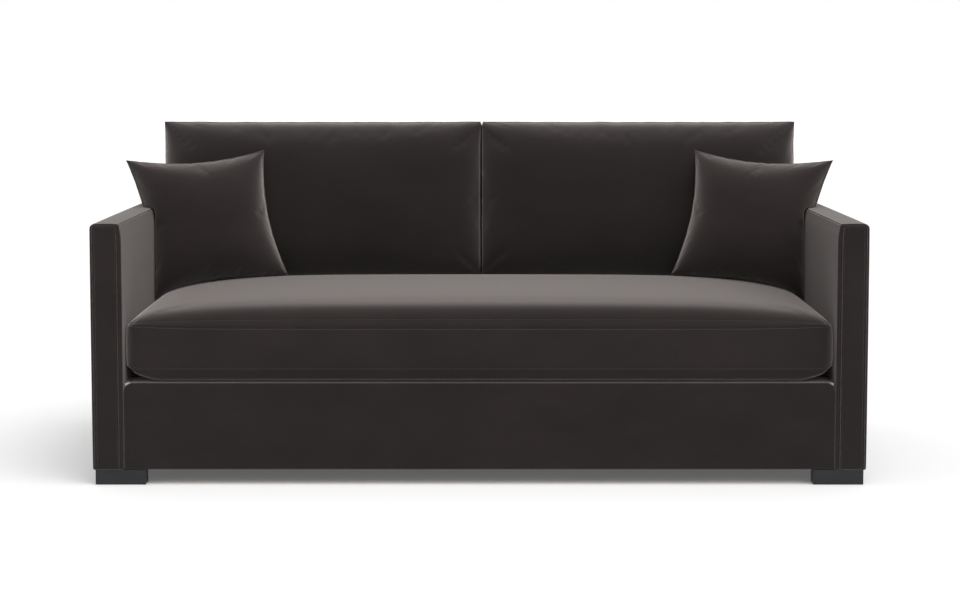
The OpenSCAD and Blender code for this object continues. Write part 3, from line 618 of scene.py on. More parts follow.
def seam_profile(distance, depth=0.0011):
    """A sewn seam: a narrow valley with a slight roll on both sides."""
    return depth * (0.45 * bump(np.abs(distance) - 0.0030, 0.0016) - bump(distance, 0.0010))


def ridge_profile(distance, height=0.0015):
    """A topstitched edge: a low ridge between two fine valleys."""
    return height * (bump(distance, 0.0012) - 0.9 * bump(np.abs(distance) - 0.0027, 0.0009))


# Distances of the border seam of an arm's front from its outer edge, inner edge and top
ARM_SEAMS = (0.0062, 0.0106, 0.0056)
# Radii of an arm's outer and inner top corners, and of its front rim
ARM_CORNERS = (0.0125, 0.0070)
ARM_RIM = 0.004
ARM_ARCH = 0.0035
# How far an arm's inner face swells out of its block
ARM_SWELL = 0.0010
# How far the inner face draws in towards the top edge
ARM_NARROWING = 0.0050
STITCH_OFFSET = 0.0054


def dome(places, low, high):
    """Parabola of height 1 in the middle of a span, and 0 at its ends."""
    return np.clip(1 - ((places - (low + high) / 2) / ((high - low) / 2)) ** 2, 0, 1)


def arm_relief(p, low, high, side):
    """Swelling and seams of an arm, by place on its square block."""
    from_outer = p[:, 0] - low[0] if side < 0 else high[0] - p[:, 0]
    from_inner = high[0] - low[0] - from_outer
    from_side = np.minimum(from_outer, from_inner)
    from_top = high[2] - p[:, 2]
    on_front = p[:, 1] - low[1] < ON_FACE
    on_top = (from_top < ON_FACE) & ~on_front
    on_outer = (from_outer < ON_FACE) & ~on_front
    on_inner = (from_inner < ON_FACE) & ~on_front
    across, along, up = (dome(p[:, k], low[k], high[k]) for k in range(3))
    border = np.minimum.reduce([from_outer - ARM_SEAMS[0], from_inner - ARM_SEAMS[1],
                                from_top - ARM_SEAMS[2]])
    pucker = 1 + 0.30 * wobble(p[:, 2] + p[:, 0], 0.011, 3)
    move = np.where(on_front, 0.0012 * across * up ** 0.3 + ridge_profile(border) * pucker
                    - 0.0004 * bump(border - STITCH_OFFSET, 0.0007), 0)
    move += np.where(on_top, ARM_ARCH * across * along ** 0.25, 0)
    move += np.where(on_outer, 0.0028, 0) * up ** 0.2 * along ** 0.2
    move += np.where(on_inner, ARM_SWELL, 0) * up ** 0.3 * along ** 0.3
    edge = from_side + from_top
    pucker = 1 + 0.25 * wobble(p[:, 1], 0.013, 4)
    seam = -0.0023 * bump(edge, 0.0014) + 0.0006 * bump(edge - 0.0038, 0.0018)
    return move + np.where(on_front, 0, seam * pucker)


# Depth by which an arm stops short of the outside back
ARM_REAR_GAP = 0.0015
# Step and reach of the finer mesh round an arm's seams
ARM_SEAM_FINE = 0.0005
ARM_SEAM_REACH = 0.0036
# Height above the lower edge at which the border stitching starts
STITCH_START = 0.004


def u_path(xs, y, top):
    """Path up at one x, across at a height and down at another x."""
    foot = BASE_Z + STITCH_START
    return [[xs[0], y, foot], [xs[0], y, top], [xs[1], y, top], [xs[1], y, foot]]


def build_arm(side):
    """One slab arm, with a bordered front panel and seams along its top edges."""
    label = SIDES[side]
    x0, x1 = sorted((side * X_IN, side * X_OUT))
    width = x1 - x0
    low, high = np.array([x0, Y_FRONT, BASE_Z]), np.array([x1, Y_REAR - ARM_REAR_GAP, ARM_Z])
    lines = [0, ARM_SEAMS[0], width - ARM_SEAMS[1], width]
    xs = with_lines(graded(width, 0.006, 0.0012, 0.014), lines, ARM_SEAM_FINE, ARM_SEAM_REACH)
    xs = x0 + xs if side < 0 else x1 - xs[::-1]
    ys = span(low[1], high[1], 0.012, 0.0008, 0.006)
    height = high[2] - low[2]
    zs = low[2] + with_lines(graded(height, 0.012, 0.0012, 0.014),
                             [height - ARM_SEAMS[2], height], ARM_SEAM_FINE, ARM_SEAM_REACH)
    lattice, quads = box_lattice(xs, ys, zs)
    outer_half = (lattice[:, 0] - (x0 + x1) / 2) * side > 0
    corner = np.where(outer_half, *ARM_CORNERS)
    verts = round_slab(lattice, low, high, corner, ARM_RIM, 0.002)
    verts += vertex_normals(verts, quads) * arm_relief(lattice, low, high, side)[:, None]
    inner_share = np.clip((x0 + x1 - 2 * lattice[:, 0]) * side / width, 0, 1)
    verts[:, 0] += side * ARM_NARROWING * inner_share * bump(high[2] - lattice[:, 2], 0.022)
    piece = make_piece(f"{label}_arm_velvet", verts, quads, "sofa_frame", "velvet",
                       [f"{label}_arm_cover", f"{label}_arm_padding"])
    # The arms' side faces take a darker copy of the velvet with little sheen: painted shade.
    piece.data.materials.append(LIT_AND_SHADED_VELVETS["sides"])
    for face in piece.data.polygons:
        face.material_index = int(abs(face.normal.x) > 0.8)
    outer, inner, top = (distance + STITCH_OFFSET for distance in ARM_SEAMS)
    path = u_path([side * (X_OUT - outer), side * (X_IN + inner)], low[1] - 0.0003, ARM_Z - top)
    stitches(f"{label}_arm_front_stitches", path, (0, -1, 0), "sofa_frame")


# How far the front panel's top sinks where the seat cushion rests on it
FRONT_DIP = 0.0036


def front_relief(p, low, high):
    """Swelling of the front panel, and the soft dip of its top where the seat cushion rests."""
    across, up = (dome(p[:, k], low[k], high[k]) for k in (0, 2))
    from_front = p[:, 1] - low[1]
    on_front = from_front < ON_FACE
    on_top = (high[2] - p[:, 2] < ON_FACE) & ~on_front
    dip = smooth((from_front - 0.002) / 0.018) * smooth((high[1] - 0.005 - p[:, 1]) / 0.06)
    return (np.where(on_front, 0.0016 * across ** 0.2 * up ** 0.5, 0)
            - np.where(on_top, FRONT_DIP * across ** 0.2 * dip, 0))


def build_front():
    """Front panel between the arms, with round upper corners, wrapped over the deck's edge."""
    low = np.array([-X_IN, Y_FRONT + 0.003, BASE_Z])
    high = np.array([X_IN, Y_FRONT + 0.110, DECK_Z])
    xs = span(low[0], high[0], 0.012, 0.0015, 0.028)
    ys = span(low[1], high[1], 0.008, 0.0012, ARM_EDGE)
    zs = span(low[2], high[2], 0.008, 0.0015, 0.028)
    lattice, quads = box_lattice(xs, ys, zs, ("+y", "-z"))
    verts = round_slab(lattice, low, high, 0.025, 0.0038, 0.0005)
    verts += vertex_normals(verts, quads) * front_relief(lattice, low, high)[:, None]
    make_piece("front_velvet", verts, quads, "sofa_frame", "velvet",
               ["front_cover", "front_padding"])


def profile_sheet(profile, xs, relief):
    """Points and quads of a sheet whose section in YZ is a list of points, drawn along X."""
    profile = np.array(profile)
    lengths = run_along(profile)
    places = np.unique(np.concatenate([np.linspace(0, lengths[-1], 90), lengths]))
    ys, zs = (np.interp(places, lengths, profile[:, k]) for k in (0, 1))
    gx, gs = grid_of(xs, places)
    verts = np.stack([gx, np.broadcast_to(ys, gx.shape), np.broadcast_to(zs, gx.shape)], -1)
    verts = verts.reshape(-1, 3)
    quads = grid_quads(np.arange(gx.size).reshape(gx.shape), flip=True)
    move = relief(gx.ravel(), gs.ravel() / lengths[-1])
    return verts + vertex_normals(verts, quads) * move[:, None], quads


def arc(cy, cz, radius, start, end, count=6):
    """Points of an arc in YZ, by angles in degrees from +Y towards +Z."""
    angles = np.radians(np.linspace(start, end, count))
    return [(cy + radius * math.cos(a), cz + radius * math.sin(a)) for a in angles]


def build_inside_back():
    """Velvet of the inside back, over the top rail to the outside back."""
    front = back_y(ARM_Z - ARM_EDGE)
    rear_edge = 0.006
    profile = [(back_y(DECK_Z), DECK_Z), (front, ARM_Z - ARM_EDGE)]
    profile += arc(front + ARM_EDGE, ARM_Z - ARM_EDGE, ARM_EDGE, 172, 90)
    profile += [(Y_REAR - rear_edge, ARM_Z)]
    profile += arc(Y_REAR - rear_edge, ARM_Z - rear_edge, rear_edge, 90, 0)[1:]

    def relief(x, share):
        return 0.002 * dome(x, -X_IN, X_IN) ** 0.3 * np.sin(np.pi * np.clip(share, 0, 1)) ** 0.5

    verts, quads = profile_sheet(profile, span(-X_IN, X_IN, 0.02, 0.003, 0.01), relief)
    make_piece("inside_back_velvet", verts, quads, "sofa_frame", "velvet",
               ["inside_back_cover", "inside_back_padding"])


def build_outside_back():
    """Outside back panel over the full width, with a border seam."""
    low, high = np.array([-X_OUT, Y_REAR - 0.006, BASE_Z]), np.array([X_OUT, Y_REAR, ARM_Z])
    border = 0.012
    size = high - low
    lines = {0: [border, size[0] - border], 2: [size[2] - border]}
    xs, zs = (low[k] + with_lines(graded(size[k], 0.02, 0.0015, 0.02), lines[k], 0.0006, 0.003)
              for k in (0, 2))
    lattice, quads = box_lattice(xs, np.linspace(low[1], high[1], 5), zs)
    verts = round_slab(lattice, low, high, ARM_EDGE, 0.001, 0.004)
    inset = np.minimum(X_OUT - np.abs(lattice[:, 0]), high[2] - lattice[:, 2])
    across, up = (dome(lattice[:, k], low[k], high[k]) for k in (0, 2))
    move = seam_profile(inset - border) + 0.0022 * across ** 0.3 * up ** 0.5
    move = np.where(high[1] - lattice[:, 1] < ON_FACE, move, 0)
    verts += vertex_normals(verts, quads) * move[:, None]
    make_piece("outside_back_velvet", verts, quads, "sofa_frame", "velvet",
               ["outside_back_cover"])
    inset = border + STITCH_OFFSET
    path = u_path([inset - X_OUT, X_OUT - inset], Y_REAR + 0.0004, ARM_Z - inset)
    stitches("outside_back_stitches", path, (0, 1, 0), "sofa_frame")


# Deck, underside and zips

def thin_sheet(name, low, high, heights, slot, replaces, step=0.012):
    """A sheet of the frame with a little thickness whose height varies, as one closed mesh."""
    xs, ys = (span(low[k], high[k], step, 0.003, 0.01) for k in (0, 1))
    lattice, quads = box_lattice(xs, ys, np.array([low[2], high[2]]))
    lattice[:, 2] += heights(lattice)
    return make_piece(name, lattice, quads, "sofa_frame", slot, replaces)


def double_dome(p, low, high):
    """Height of 1 over the middle of a rectangle, and 0 at its edges."""
    return dome(p[:, 0], low[0], high[0]) * dome(p[:, 1], low[1], high[1])


def deck_dips(p):
    """Soft hollows of the deck between its springs, away from the deck's edges."""
    low, high = node_box("deck_cloth")
    waves = 0.5 + 0.5 * np.cos(2 * math.pi * p[:, 0] / SPRING_PITCH)
    under_front = FRONT_DIP * smooth((low[1] - p[:, 1]) / 0.02)
    return -(0.0012 * waves + 0.0010) * smooth(3 * double_dome(p, low, high)) - under_front


def build_deck():
    """Wadding and dark cloth under the seat cushion, sewn to the front panel's velvet."""
    low, high = node_box("deck_pad")
    pad = thin_sheet("deck_wadding", low, high - [0, 0, 0.0003],
                     lambda p: np.where(p[:, 2] > 0.256, deck_dips(p), 0), "padding",
                     ["deck_pad"])
    low, high = node_box("deck_cloth")
    cloth = thin_sheet("deck_cloth_sheet", low, high, deck_dips, "deck_cloth", ["deck_cloth"])
    path = [[x, low[1] - STITCH_OFFSET, DECK_Z + 0.0001] for x in (0.006 - X_IN, X_IN - 0.006)]
    stitches("deck_seam_stitches", path, (0, 0, 1), "sofa_frame")


def build_dust_cover():
    """Black cloth stapled under the frame, sagging a little between its staples."""
    low, high = node_box("dust_cover")

    def sag(p):
        inside = double_dome(p, low, high)
        return -0.0045 * inside ** 1.3 - 0.0004 * smooth(4 * inside) * wobble(p[:, 0], 0.22, 31)

    cloth = thin_sheet("dust_cover_sheet", low, high, sag, "dust_cloth", ["dust_cover"],
                       step=0.016)
    edge = 0.009
    x, y0, y1, z = high[0] - edge, low[1] + edge, high[1] - edge, low[2] - 0.0001
    path = [[-x, y0, z], [x, y0, z], [x, y1, z], [-x, y1, z], [-x, y0 + 0.02, z]]

    def over_foot(places):
        return np.any([np.all((places[:, :2] > a[:2] - 0.008) & (places[:, :2] < b[:2] + 0.008),
                              axis=1) for a, b in map(node_box, FEET)], axis=0)

    stitches("dust_cover_staples", path, (0, 0, -1), "sofa_frame", "fastener_steel", pitch=0.045,
             thread=0.0006, length=0.0115, skip=over_foot)


def zip_teeth(name, path, across, out, body, width=0.0042, height=0.0008, pitch=0.0016):
    """The closed teeth of a zip along a path: small blocks from alternate sides."""
    along = run_along(path)
    count = int(along[-1] / pitch)
    spots = (np.arange(count) + 0.5) * pitch
    centre = np.stack([np.interp(spots, along, path[:, k]) for k in range(3)], axis=1)
    ahead = (path[-1] - path[0]) / np.linalg.norm(path[-1] - path[0])
    sides = np.where(np.arange(count) % 2 == 0, 1, -1)
    corners = [(a, b, c) for c in (0, 1) for a, b in ((-1, -0.5), (1, -0.5), (0.7, 0.2), (-0.7, 0.2))]
    verts = np.concatenate([centre + ahead * (a * pitch * (0.42 - 0.1 * c))
                            + across * (sides[:, None] * b * width) + out * (c * height)
                            for a, b, c in corners])
    shape = [(3, 2, 1, 0), (4, 5, 6, 7), (0, 1, 5, 4), (1, 2, 6, 5), (2, 3, 7, 6), (3, 0, 4, 7)]
    # The faces of every other tooth are turned, because it is a mirror of its neighbours
    turns = sides * int(np.sign(np.dot(np.cross(ahead, across), out)))
    faces = [tuple(k * count + n for k in face)[::turns[n]] for n in range(count) for face in shape]
    return make_piece(name, verts, faces, body, "zip_metal", smooth=False)


def ring_plate(outer, inner, thickness):
    """Flat plate in XY with a hole, from z 0 to its thickness. Both outlines have as many points."""
    rings = ((outer, 0), (inner, 0), (inner, thickness), (outer, thickness))
    verts = np.concatenate([np.column_stack([ring, np.full(len(ring), z)]) for ring, z in rings])
    index = np.arange(len(verts)).reshape(len(rings), -1)
    return verts, grid_quads(np.pad(index, (0, 1), mode="wrap"))


def build_pull_tab(name, origin, lengthways, across, body):
    """Slim pull tab with an eye near its slider end and a rounded tip."""
    angles = np.linspace(0, 2 * math.pi, 32, endpoint=False)
    cos, sin = np.cos(angles), np.sin(angles)
    half_l, half_w, power = 0.0065, 0.0022, 0.55
    outer = np.stack([half_l * np.sign(cos) * np.abs(cos) ** power,
                      half_w * np.sign(sin) * np.abs(sin) ** power], 1)
    inner = np.stack([-0.0044 + 0.0012 * cos, 0.0010 * sin], 1)
    plate, faces = ring_plate(outer, inner, 0.0008)
    up = np.cross(lengthways, across)
    verts = np.array(origin) + plate @ np.array([lengthways, across, up])
    make_piece(name, verts, faces, body, "zip_metal", smooth=False)


def build_seat_zip():
    """Zip in the seat cushion's rear band: woven tape, teeth and a pull tab."""
    low, high = node_box("seat_cushion_zip")
    tape_t = 0.0006
    xs = span(low[0], high[0], 0.010, 0.002, 0.006)
    zs = np.linspace(low[2], high[2], 13)
    lattice, quads = box_lattice(xs, np.array([low[1], low[1] + tape_t]), zs)
    mid_z = (low[2] + high[2]) / 2
    # The tape waves a little, but not under the teeth
    lattice[:, 1] += (0.0001 * wobble(lattice[:, 0], 0.03, 51)
                      * (1 - bump(lattice[:, 2] - mid_z, 0.004)))
    make_piece("seat_cushion_zip_tape", lattice, quads, "seat_cushion", "zip_tape",
               ["seat_cushion_zip"])
    path = np.array([[x, low[1] + tape_t, mid_z] for x in (low[0] + 0.003, high[0] - 0.003)])
    zip_teeth("seat_cushion_zip_teeth", path, np.array([0, 0, 1.0]), np.array([0, 1.0, 0]),
              "seat_cushion")
    a, b = node_box("seat_zip_slider")
    hinge = [(a[0] + b[0]) / 2, b[1] + 0.0003, (a[2] + b[2]) / 2 - 0.0045]
    build_pull_tab("seat_zip_pull_tab", hinge, np.array([0, 0, -1.0]), np.array([-1.0, 0, 0]),
                   "seat_zip_slider")


# Length of a back cushion's lower seam that its zip leaves free at each end
BACK_ZIP_END = 0.175


def build_back_zip(side):
    """Zip in a back cushion's lower seam: teeth, and a pull tab behind the slider."""
    label, form = SIDES[side], BACK_FORMS[side]
    share = 1 - 2 * BACK_ZIP_END / form["size"][0]
    u = np.linspace(-share, share, 60)
    seam = cushion_form(u, -np.ones_like(u), 1, form)
    turn = np.array(form["matrix"].to_3x3())
    across, out = turn @ [0, 1.0, 0], turn @ [0, 0, -1.0]
    zip_teeth(f"{label}_back_zip_teeth", placed(seam - [0, 0, 0.0002], form["matrix"]), across,
              out, f"{label}_back_cushion", 0.0036, 0.0004)
    origin = placed(seam[:1], form["matrix"])[0] + turn @ [-0.0040, 0, -0.0022]
    build_pull_tab(f"{label}_back_zip_pull_tab", origin, np.array([-1.0, 0, 0]), -across,
                   f"{label}_back_zip_slider")


# Seat cushion

def seat_end_rise(x):
    inside = np.maximum(SEAT_HALF_W - np.abs(x), 0)
    return 0.4 * rise(inside, 0.012) + 0.6 * rise(inside, 0.150)


def seat_side_rise(y):
    """Share of the crown at a depth: a firm knee at the front, and a soft slope at the rear."""
    front = np.maximum(y - SEAT_Y0, 0)
    knee = 0.70 * rise(front, 0.0145) + 0.30 * rise(front, 0.150)
    return knee * rise(np.maximum(SEAT_Y1 - y, 0), 0.060)


def round_plan(x, y):
    """Rounds the four plan corners of a grid on the seat's rectangle."""
    core_x = np.clip(x, SEAT_CORNER - SEAT_HALF_W, SEAT_HALF_W - SEAT_CORNER)
    core_y = np.clip(y, SEAT_Y0 + SEAT_CORNER, SEAT_Y1 - SEAT_CORNER)
    dx, dy = x - core_x, y - core_y
    reach = np.maximum(np.abs(dx), np.abs(dy))
    scale = reach / np.maximum(np.hypot(dx, dy), TINY)
    return core_x + dx * scale, core_y + dy * scale


def seat_place(u, v):
    return u * SEAT_HALF_W, SEAT_MID_Y + v * SEAT_HALF_D


def spread(x):
    """Moves the last stretch of each end outwards."""
    return x + np.sign(x) * SEAT_SPREAD * np.abs(x / SEAT_HALF_W) ** 20


def seat_top(u, v):
    """Point of the top panel, whose seam rises towards the ends."""
    x, y = seat_place(u, v)
    lift = 0.008 * np.abs(u) ** 8 * (1 - seat_side_rise(y))
    z = SEAT_HIGH + SEAT_CROWN * seat_end_rise(x) * seat_side_rise(y) + lift
    x, y = round_plan(x, y)
    return np.stack([spread(x), y, z], -1)


def seat_bottom(u, v):
    """Point of the bottom panel: a tight roll at the front and rear, a long one at the ends."""
    x, y = seat_place(u, v)
    from_end = np.maximum(SEAT_HALF_W - np.abs(x), 0)
    from_side = np.maximum(SEAT_HALF_D - np.abs(y - SEAT_MID_Y), 0)
    end_turn = np.pi / 2 * np.clip(from_end / SEAT_END_ROLL, 0, 1)
    side_turn = np.pi / 2 * np.clip(from_side / SEAT_SIDE_ROLL, 0, 1)
    drawn = SEAT_SIDE_ROLL * (1 - np.cos(side_turn) ** SEAT_ROLL_POWER)
    drawn = np.where(from_side < SEAT_SIDE_ROLL, drawn, from_side)
    y = SEAT_MID_Y + np.sign(y - SEAT_MID_Y) * (SEAT_HALF_D - drawn)
    lift = 0.010 * bump(from_end, 0.016)
    fall = np.sin(end_turn) * np.sin(side_turn) ** SEAT_ROLL_POWER
    x, y = round_plan(x, y)
    y = y - SEAT_SETTLE * bump(y - SEAT_Y0, 0.050)
    return np.stack([spread(x), y, SEAT_LOW + lift - (SEAT_UNDER + lift) * fall], -1)


def ring_of(grid):
    """Values round the edge of a grid, once round, starting at its first corner."""
    return np.concatenate([grid[:-1, 0], grid[-1, :-1], grid[:0:-1, -1], grid[0, :0:-1]])


def seat_mesh(us, vs, ts):
    """Base shape of the seat cushion as one mesh: top grid, band rows and bottom grid."""
    gu, gv = grid_of(us, vs)
    top, bottom = seat_top(gu, gv), seat_bottom(gu, gv)
    count = gu.size
    top_index = np.arange(count).reshape(gu.shape)
    upper, lower = ring_of(top), ring_of(bottom)
    outward = ring_of(np.stack([gu, gv, np.zeros_like(gu)], -1))
    reach = np.where(np.abs(outward[:, :2]) > 0.999999, np.sign(outward[:, :2]), 0)
    reach /= np.linalg.norm(reach, axis=1)[:, None]
    rows = []
    for t in ts[1:-1]:
        row = upper * (1 - t) + lower * t
        row[:, :2] += reach * SEAT_SWELL * math.sin(math.pi * t) ** 0.5
        rows.append(row)
    ring = len(upper)
    band = np.concatenate(rows)
    band_index = count + np.arange(len(band)).reshape(len(rows), ring)
    bottom_index = count + len(band) + np.arange(count).reshape(gu.shape)
    rows_index = np.vstack([ring_of(top_index), band_index, ring_of(bottom_index)])
    closed = np.concatenate([rows_index, rows_index[:, :1]], axis=1)
    quads = np.concatenate([grid_quads(top_index), grid_quads(closed),
                            grid_quads(bottom_index, True)])
    verts = np.concatenate([top.reshape(-1, 3), band, bottom.reshape(-1, 3)])
    return verts, quads, top_index, rows_index, bottom_index


# Places of the seat cushion's simulated mesh: across, in depth and down its band
SEAT_SIM = (np.linspace(-1, 1, 91), np.linspace(-1, 1, 41), np.linspace(0, 1, 8))


# Growth of its cloth in the simulation, and the farthest move of a point
SEAT_GROWTH = 0.001
SEAT_FARTHEST = 0.0012


def seat_sim_piece():
    """The seat cushion as its cloth simulation takes it, with both seams pinned."""
    verts, quads, _, rows, _ = seat_mesh(*SEAT_SIM)
    return verts, quads, np.concatenate([rows[0], rows[-1]]), SEAT_GROWTH, SEAT_FARTHEST


def build_seat(move):
    """Bench cushion with its two seams, their stitching and a soft crown."""
    sim_us, sim_vs, sim_ts = SEAT_SIM
    _, _, top, rows, bottom = seat_mesh(*SEAT_SIM)
    us = graded(2 * SEAT_HALF_W, 0.009, 0.0012, 0.016) / SEAT_HALF_W - 1
    vs = graded(2 * SEAT_HALF_D, 0.009, 0.0012, 0.034) / SEAT_HALF_D - 1
    ts = graded(1, 0.05, 0.010, 0.16)
    verts, quads, fine_top, fine_rows, fine_bottom = seat_mesh(us, vs, ts)
    for old, new in ((top, fine_top), (bottom, fine_bottom)):
        verts[new] += resample(move[old], sim_us, sim_vs, us, vs)
    band = resample(move[rows], sim_ts, ring_place(sim_us, sim_vs), ts, ring_place(us, vs))
    verts[fine_rows[1:-1]] += band[1:-1]
    relief = seat_relief(len(verts), us, vs, ts, fine_rows, fine_top)
    verts += vertex_normals(verts, quads) * relief[:, None]
    verts[:, 0] = np.clip(verts[:, 0], ARM_GAP - X_IN, X_IN - ARM_GAP)
    verts[:, 1] = np.minimum(verts[:, 1], SEAT_Y1 + SEAT_SWELL)
    verts[:, 2] = np.maximum(verts[:, 2], DECK_Z + REST_GAP)
    # The seat takes the copy of the velvet with more sheen, which lights it more: painted light.
    piece = make_piece("seat_cushion_velvet", verts, quads, "seat_cushion", "velvet",
                       ["seat_cushion_cover"], LIT_AND_SHADED_VELVETS["cushions"])
    seat_stitches(verts, quads, us, vs, ts, fine_top, fine_rows)
    return verts[fine_top], us, vs


def ring_place(us, vs):
    """Distance round the seat's edge of each ring point, in units of u and v."""
    return run_along(ring_of(np.stack(grid_of(us, vs), -1)))


SEAT_STITCH_OFFSET = STITCH_OFFSET + 0.0015


def seat_relief(count, us, vs, ts, rows, top):
    """Seam valleys, topstitching and puckers of the seat cushion."""
    move = np.zeros(count)
    gu, gv = grid_of(us, vs)
    inset = np.minimum((1 - np.abs(gu)) * SEAT_HALF_W, (1 - np.abs(gv)) * SEAT_HALF_D)
    pucker = 1 + 0.35 * wobble(gu * SEAT_HALF_W + gv * SEAT_HALF_D, 0.014, 11)
    move[top] += seam_profile(inset, 0.0016) * pucker
    move[top] -= 0.0006 * bump(inset - SEAT_STITCH_OFFSET, 0.0009)
    height = SEAT_HIGH - SEAT_LOW
    wave = 1 + 0.35 * wobble(ring_place(us, vs) * SEAT_HALF_W, 0.014, 12)
    for row, t in enumerate(ts[1:-1], start=1):
        upper, lower = t * height, (1 - t) * height
        move[rows[row]] += (seam_profile(upper, 0.0016) + seam_profile(lower, 0.0018)) * wave
        move[rows[row]] -= 0.0006 * bump(lower - SEAT_STITCH_OFFSET, 0.0009)
    return move


def seat_stitches(verts, quads, us, vs, ts, top, rows):
    """Topstitching beside both seams."""
    normals = vertex_normals(verts, quads)
    insets = ((1 + us) * SEAT_HALF_W, (1 + vs) * SEAT_HALF_D, (1 - ts) * (SEAT_HIGH - SEAT_LOW))
    iu, iv, row = (int(np.argmin(np.abs(inset - SEAT_STITCH_OFFSET))) for inset in insets)
    loop = ring_of(top[iu:len(us) - iu, iv:len(vs) - iv])
    for name, ring in (("upper", loop), ("lower", rows[row])):
        path = np.append(ring, ring[0])
        stitches(f"seat_cushion_{name}_stitches", verts[path], normals[path], "seat_cushion")


# Knife-edge cushions

def cushion_form(u, v, face, form):
    """Point of a knife-edge cushion: full in the middle, edges drawn in between the corners."""
    w, t, h = form["size"]
    outer, inner, bottom, top = form["pulls"]
    power = form["power"]
    side_pull = np.where(u < 0, outer, inner) * (1 - np.abs(v) ** power)
    end_pull = np.where(v < 0, bottom, top) * (1 - np.abs(u) ** power)
    ear = form["ear"] * np.clip(-u, 0, 1) ** 3 * ((1 + v) / 2) ** 2
    x = w / 2 * u * (1 - side_pull) - form["skew"] / 2 * v - ear
    fullness = np.clip((1 - np.abs(u) ** 3) * (1 - np.abs(v) ** 3), 0, 1)
    y = face * t / 2 * fullness ** form["fullness"]
    sag = form["sag"] * np.clip(-u, 0, 1) ** 2 * ((1 - v) / 2) ** 2
    z = h / 2 * v * (1 - end_pull) - sag
    return np.stack([x, y, z], -1)


def even_places(length, thick, fullness, step, fine):
    """Places from -1 to 1 whose points lie evenly along a cushion's bulging section."""
    near = np.linspace(0, 1, 3000) ** 3
    share = 1 - near
    section = np.stack([length / 2 * share, thick / 2 * (1 - share ** 3) ** fullness], 1)
    run = run_along(section)
    spots = graded(2 * run[-1], step, fine, 4 * fine)
    half = spots[spots <= run[-1] + 1e-9]
    places = -np.interp(half, run, share)
    places[-1] = 0 if abs(half[-1] - run[-1]) < 1e-6 else places[-1]
    other = -places[::-1]
    return np.unique(np.round(np.concatenate([places, other]), 9))


def two_panels(us, vs, form):
    """Front and rear panel grids that share their seam."""
    gu, gv = grid_of(us, vs)
    front, rear = cushion_form(gu, gv, -1, form), cushion_form(gu, gv, 1, form)
    count = gu.size
    front_index = np.arange(count).reshape(gu.shape)
    inner = np.zeros(gu.shape, dtype=bool)
    inner[1:-1, 1:-1] = True
    rear_index = front_index.copy()
    rear_index[inner] = count + np.arange(inner.sum())
    verts = np.concatenate([front.reshape(-1, 3), rear[inner]])
    quads = np.concatenate([grid_quads(front_index), grid_quads(rear_index, True)])
    return verts, quads, front_index, rear_index


def panel_places(form, step, fine):
    """Places along both axes of a knife-edge cushion's panels."""
    w, t, h = form["size"]
    return [even_places(length, t, form["fullness"], step, fine) for length in (w, h)]


def knife_sim_piece(form, step, growth, limit):
    """A knife-edge cushion as its cloth simulation takes it, and the grid of that."""
    us, vs = panel_places(form, step, step * 0.6)
    verts, quads, front, rear = two_panels(us, vs, form)
    return (verts, quads, ring_of(front), growth, limit), (us, vs, front, rear)


def knife_surface(form, sim_grid, move, step, seed):
    """Fine mesh of a cushion with its simulated swelling and its seam's puckers."""
    w, _, h = form["size"]
    old_u, old_v, front_o, rear_o = sim_grid
    us, vs = panel_places(form, step, RIM_STEP)
    verts, quads, front, rear = two_panels(us, vs, form)
    shift = np.zeros_like(verts)
    for old, new in ((front_o, front), (rear_o, rear)):
        moved = resample(move[old], old_u, old_v, us, vs)
        shift[new[1:-1, 1:-1]] = moved[1:-1, 1:-1]
    verts = verts + shift
    normals = vertex_normals(verts, quads)
    gu, gv = grid_of(us, vs)
    along = np.where(np.abs(gu) > np.abs(gv), gv * h / 2, gu * w / 2)
    relief = np.zeros(len(verts))
    for number, grid in enumerate((front, rear)):
        points = verts[grid]
        edge = np.minimum(edge_distance(points, 0), edge_distance(points, 1))
        fold = wobble(along, 0.110, seed + number) * bump(edge, 0.050)
        fold += 0.4 * wobble(along, 0.030, seed + 7 + number) * bump(edge, 0.022)
        seam = 0.0008 * bump(edge - 0.0042, 0.0022) - 0.0012 * bump(edge, 0.0016)
        relief[grid] = form["pucker"] * fold * np.clip(edge / 0.006, 0, 1) + seam
    return verts + normals * relief[:, None], quads, front, rear, us, vs


def edge_distance(points, axis):
    """Distance along the surface from each grid point to the nearer edge across an axis."""
    steps = np.linalg.norm(np.diff(points, axis=axis), axis=-1)
    pad = [(0, 0), (0, 0)]
    pad[axis] = (1, 0)
    run = np.pad(np.cumsum(steps, axis=axis), pad)
    total = run.take([-1], axis=axis)
    return np.minimum(run, total - run)


def placed(verts, matrix):
    turn = np.array(matrix.to_3x3())
    return verts @ turn.T + np.array(matrix.translation)


# Mesh step, growth of the cloth and farthest move of a point in each simulation
BACK_SIM = (0.016, 0.004, 0.004)
PILLOW_SIM = (0.011, 0.005, 0.004)
# Steps of the finished meshes
BACK_STEP = 0.0065
PILLOW_STEP = 0.0042
RIM_STEP = 0.0012
BACK_FORMS = {
    side: {
        "size": (width, 0.186, 0.4635),
        "pulls": (0.011, 0.008, 0.038, 0.012) if side < 0 else (0.008, 0.011, 0.038, 0.012),
        "power": 1 / 0.17, "fullness": 0.42, "skew": 0.0, "ear": 0.0, "sag": 0.0,
        "pucker": 0.0008,
        "matrix": Matrix.Translation((x, 0.30147, 0.67802)) @ Matrix.Rotation(-BACK_RAKE, 4, "X"),
    }
    for side, width, x in ((-1, 0.9162, -0.4519), (1, 0.9022, 0.4589))
}
# Where the two back cushions meet, and how far the left and the right one swell past that
MEETING_X = 0.007
MEETING_PRESS = {-1: 0.010, 1: 0.018}
# How far the line where they meet turns across with depth, so that no light shows through
MEETING_SLANT = 0.090
# Half the width of the open groove in front of that line
MEETING_GROOVE = 0.0022
# Where the groove starts in depth, and the depth over which it opens
GROOVE_START = -0.003
GROOVE_EASE = 0.016
# Opening at the top of that line, and its height
NOTCH = 0.004
NOTCH_HEIGHT = 0.007
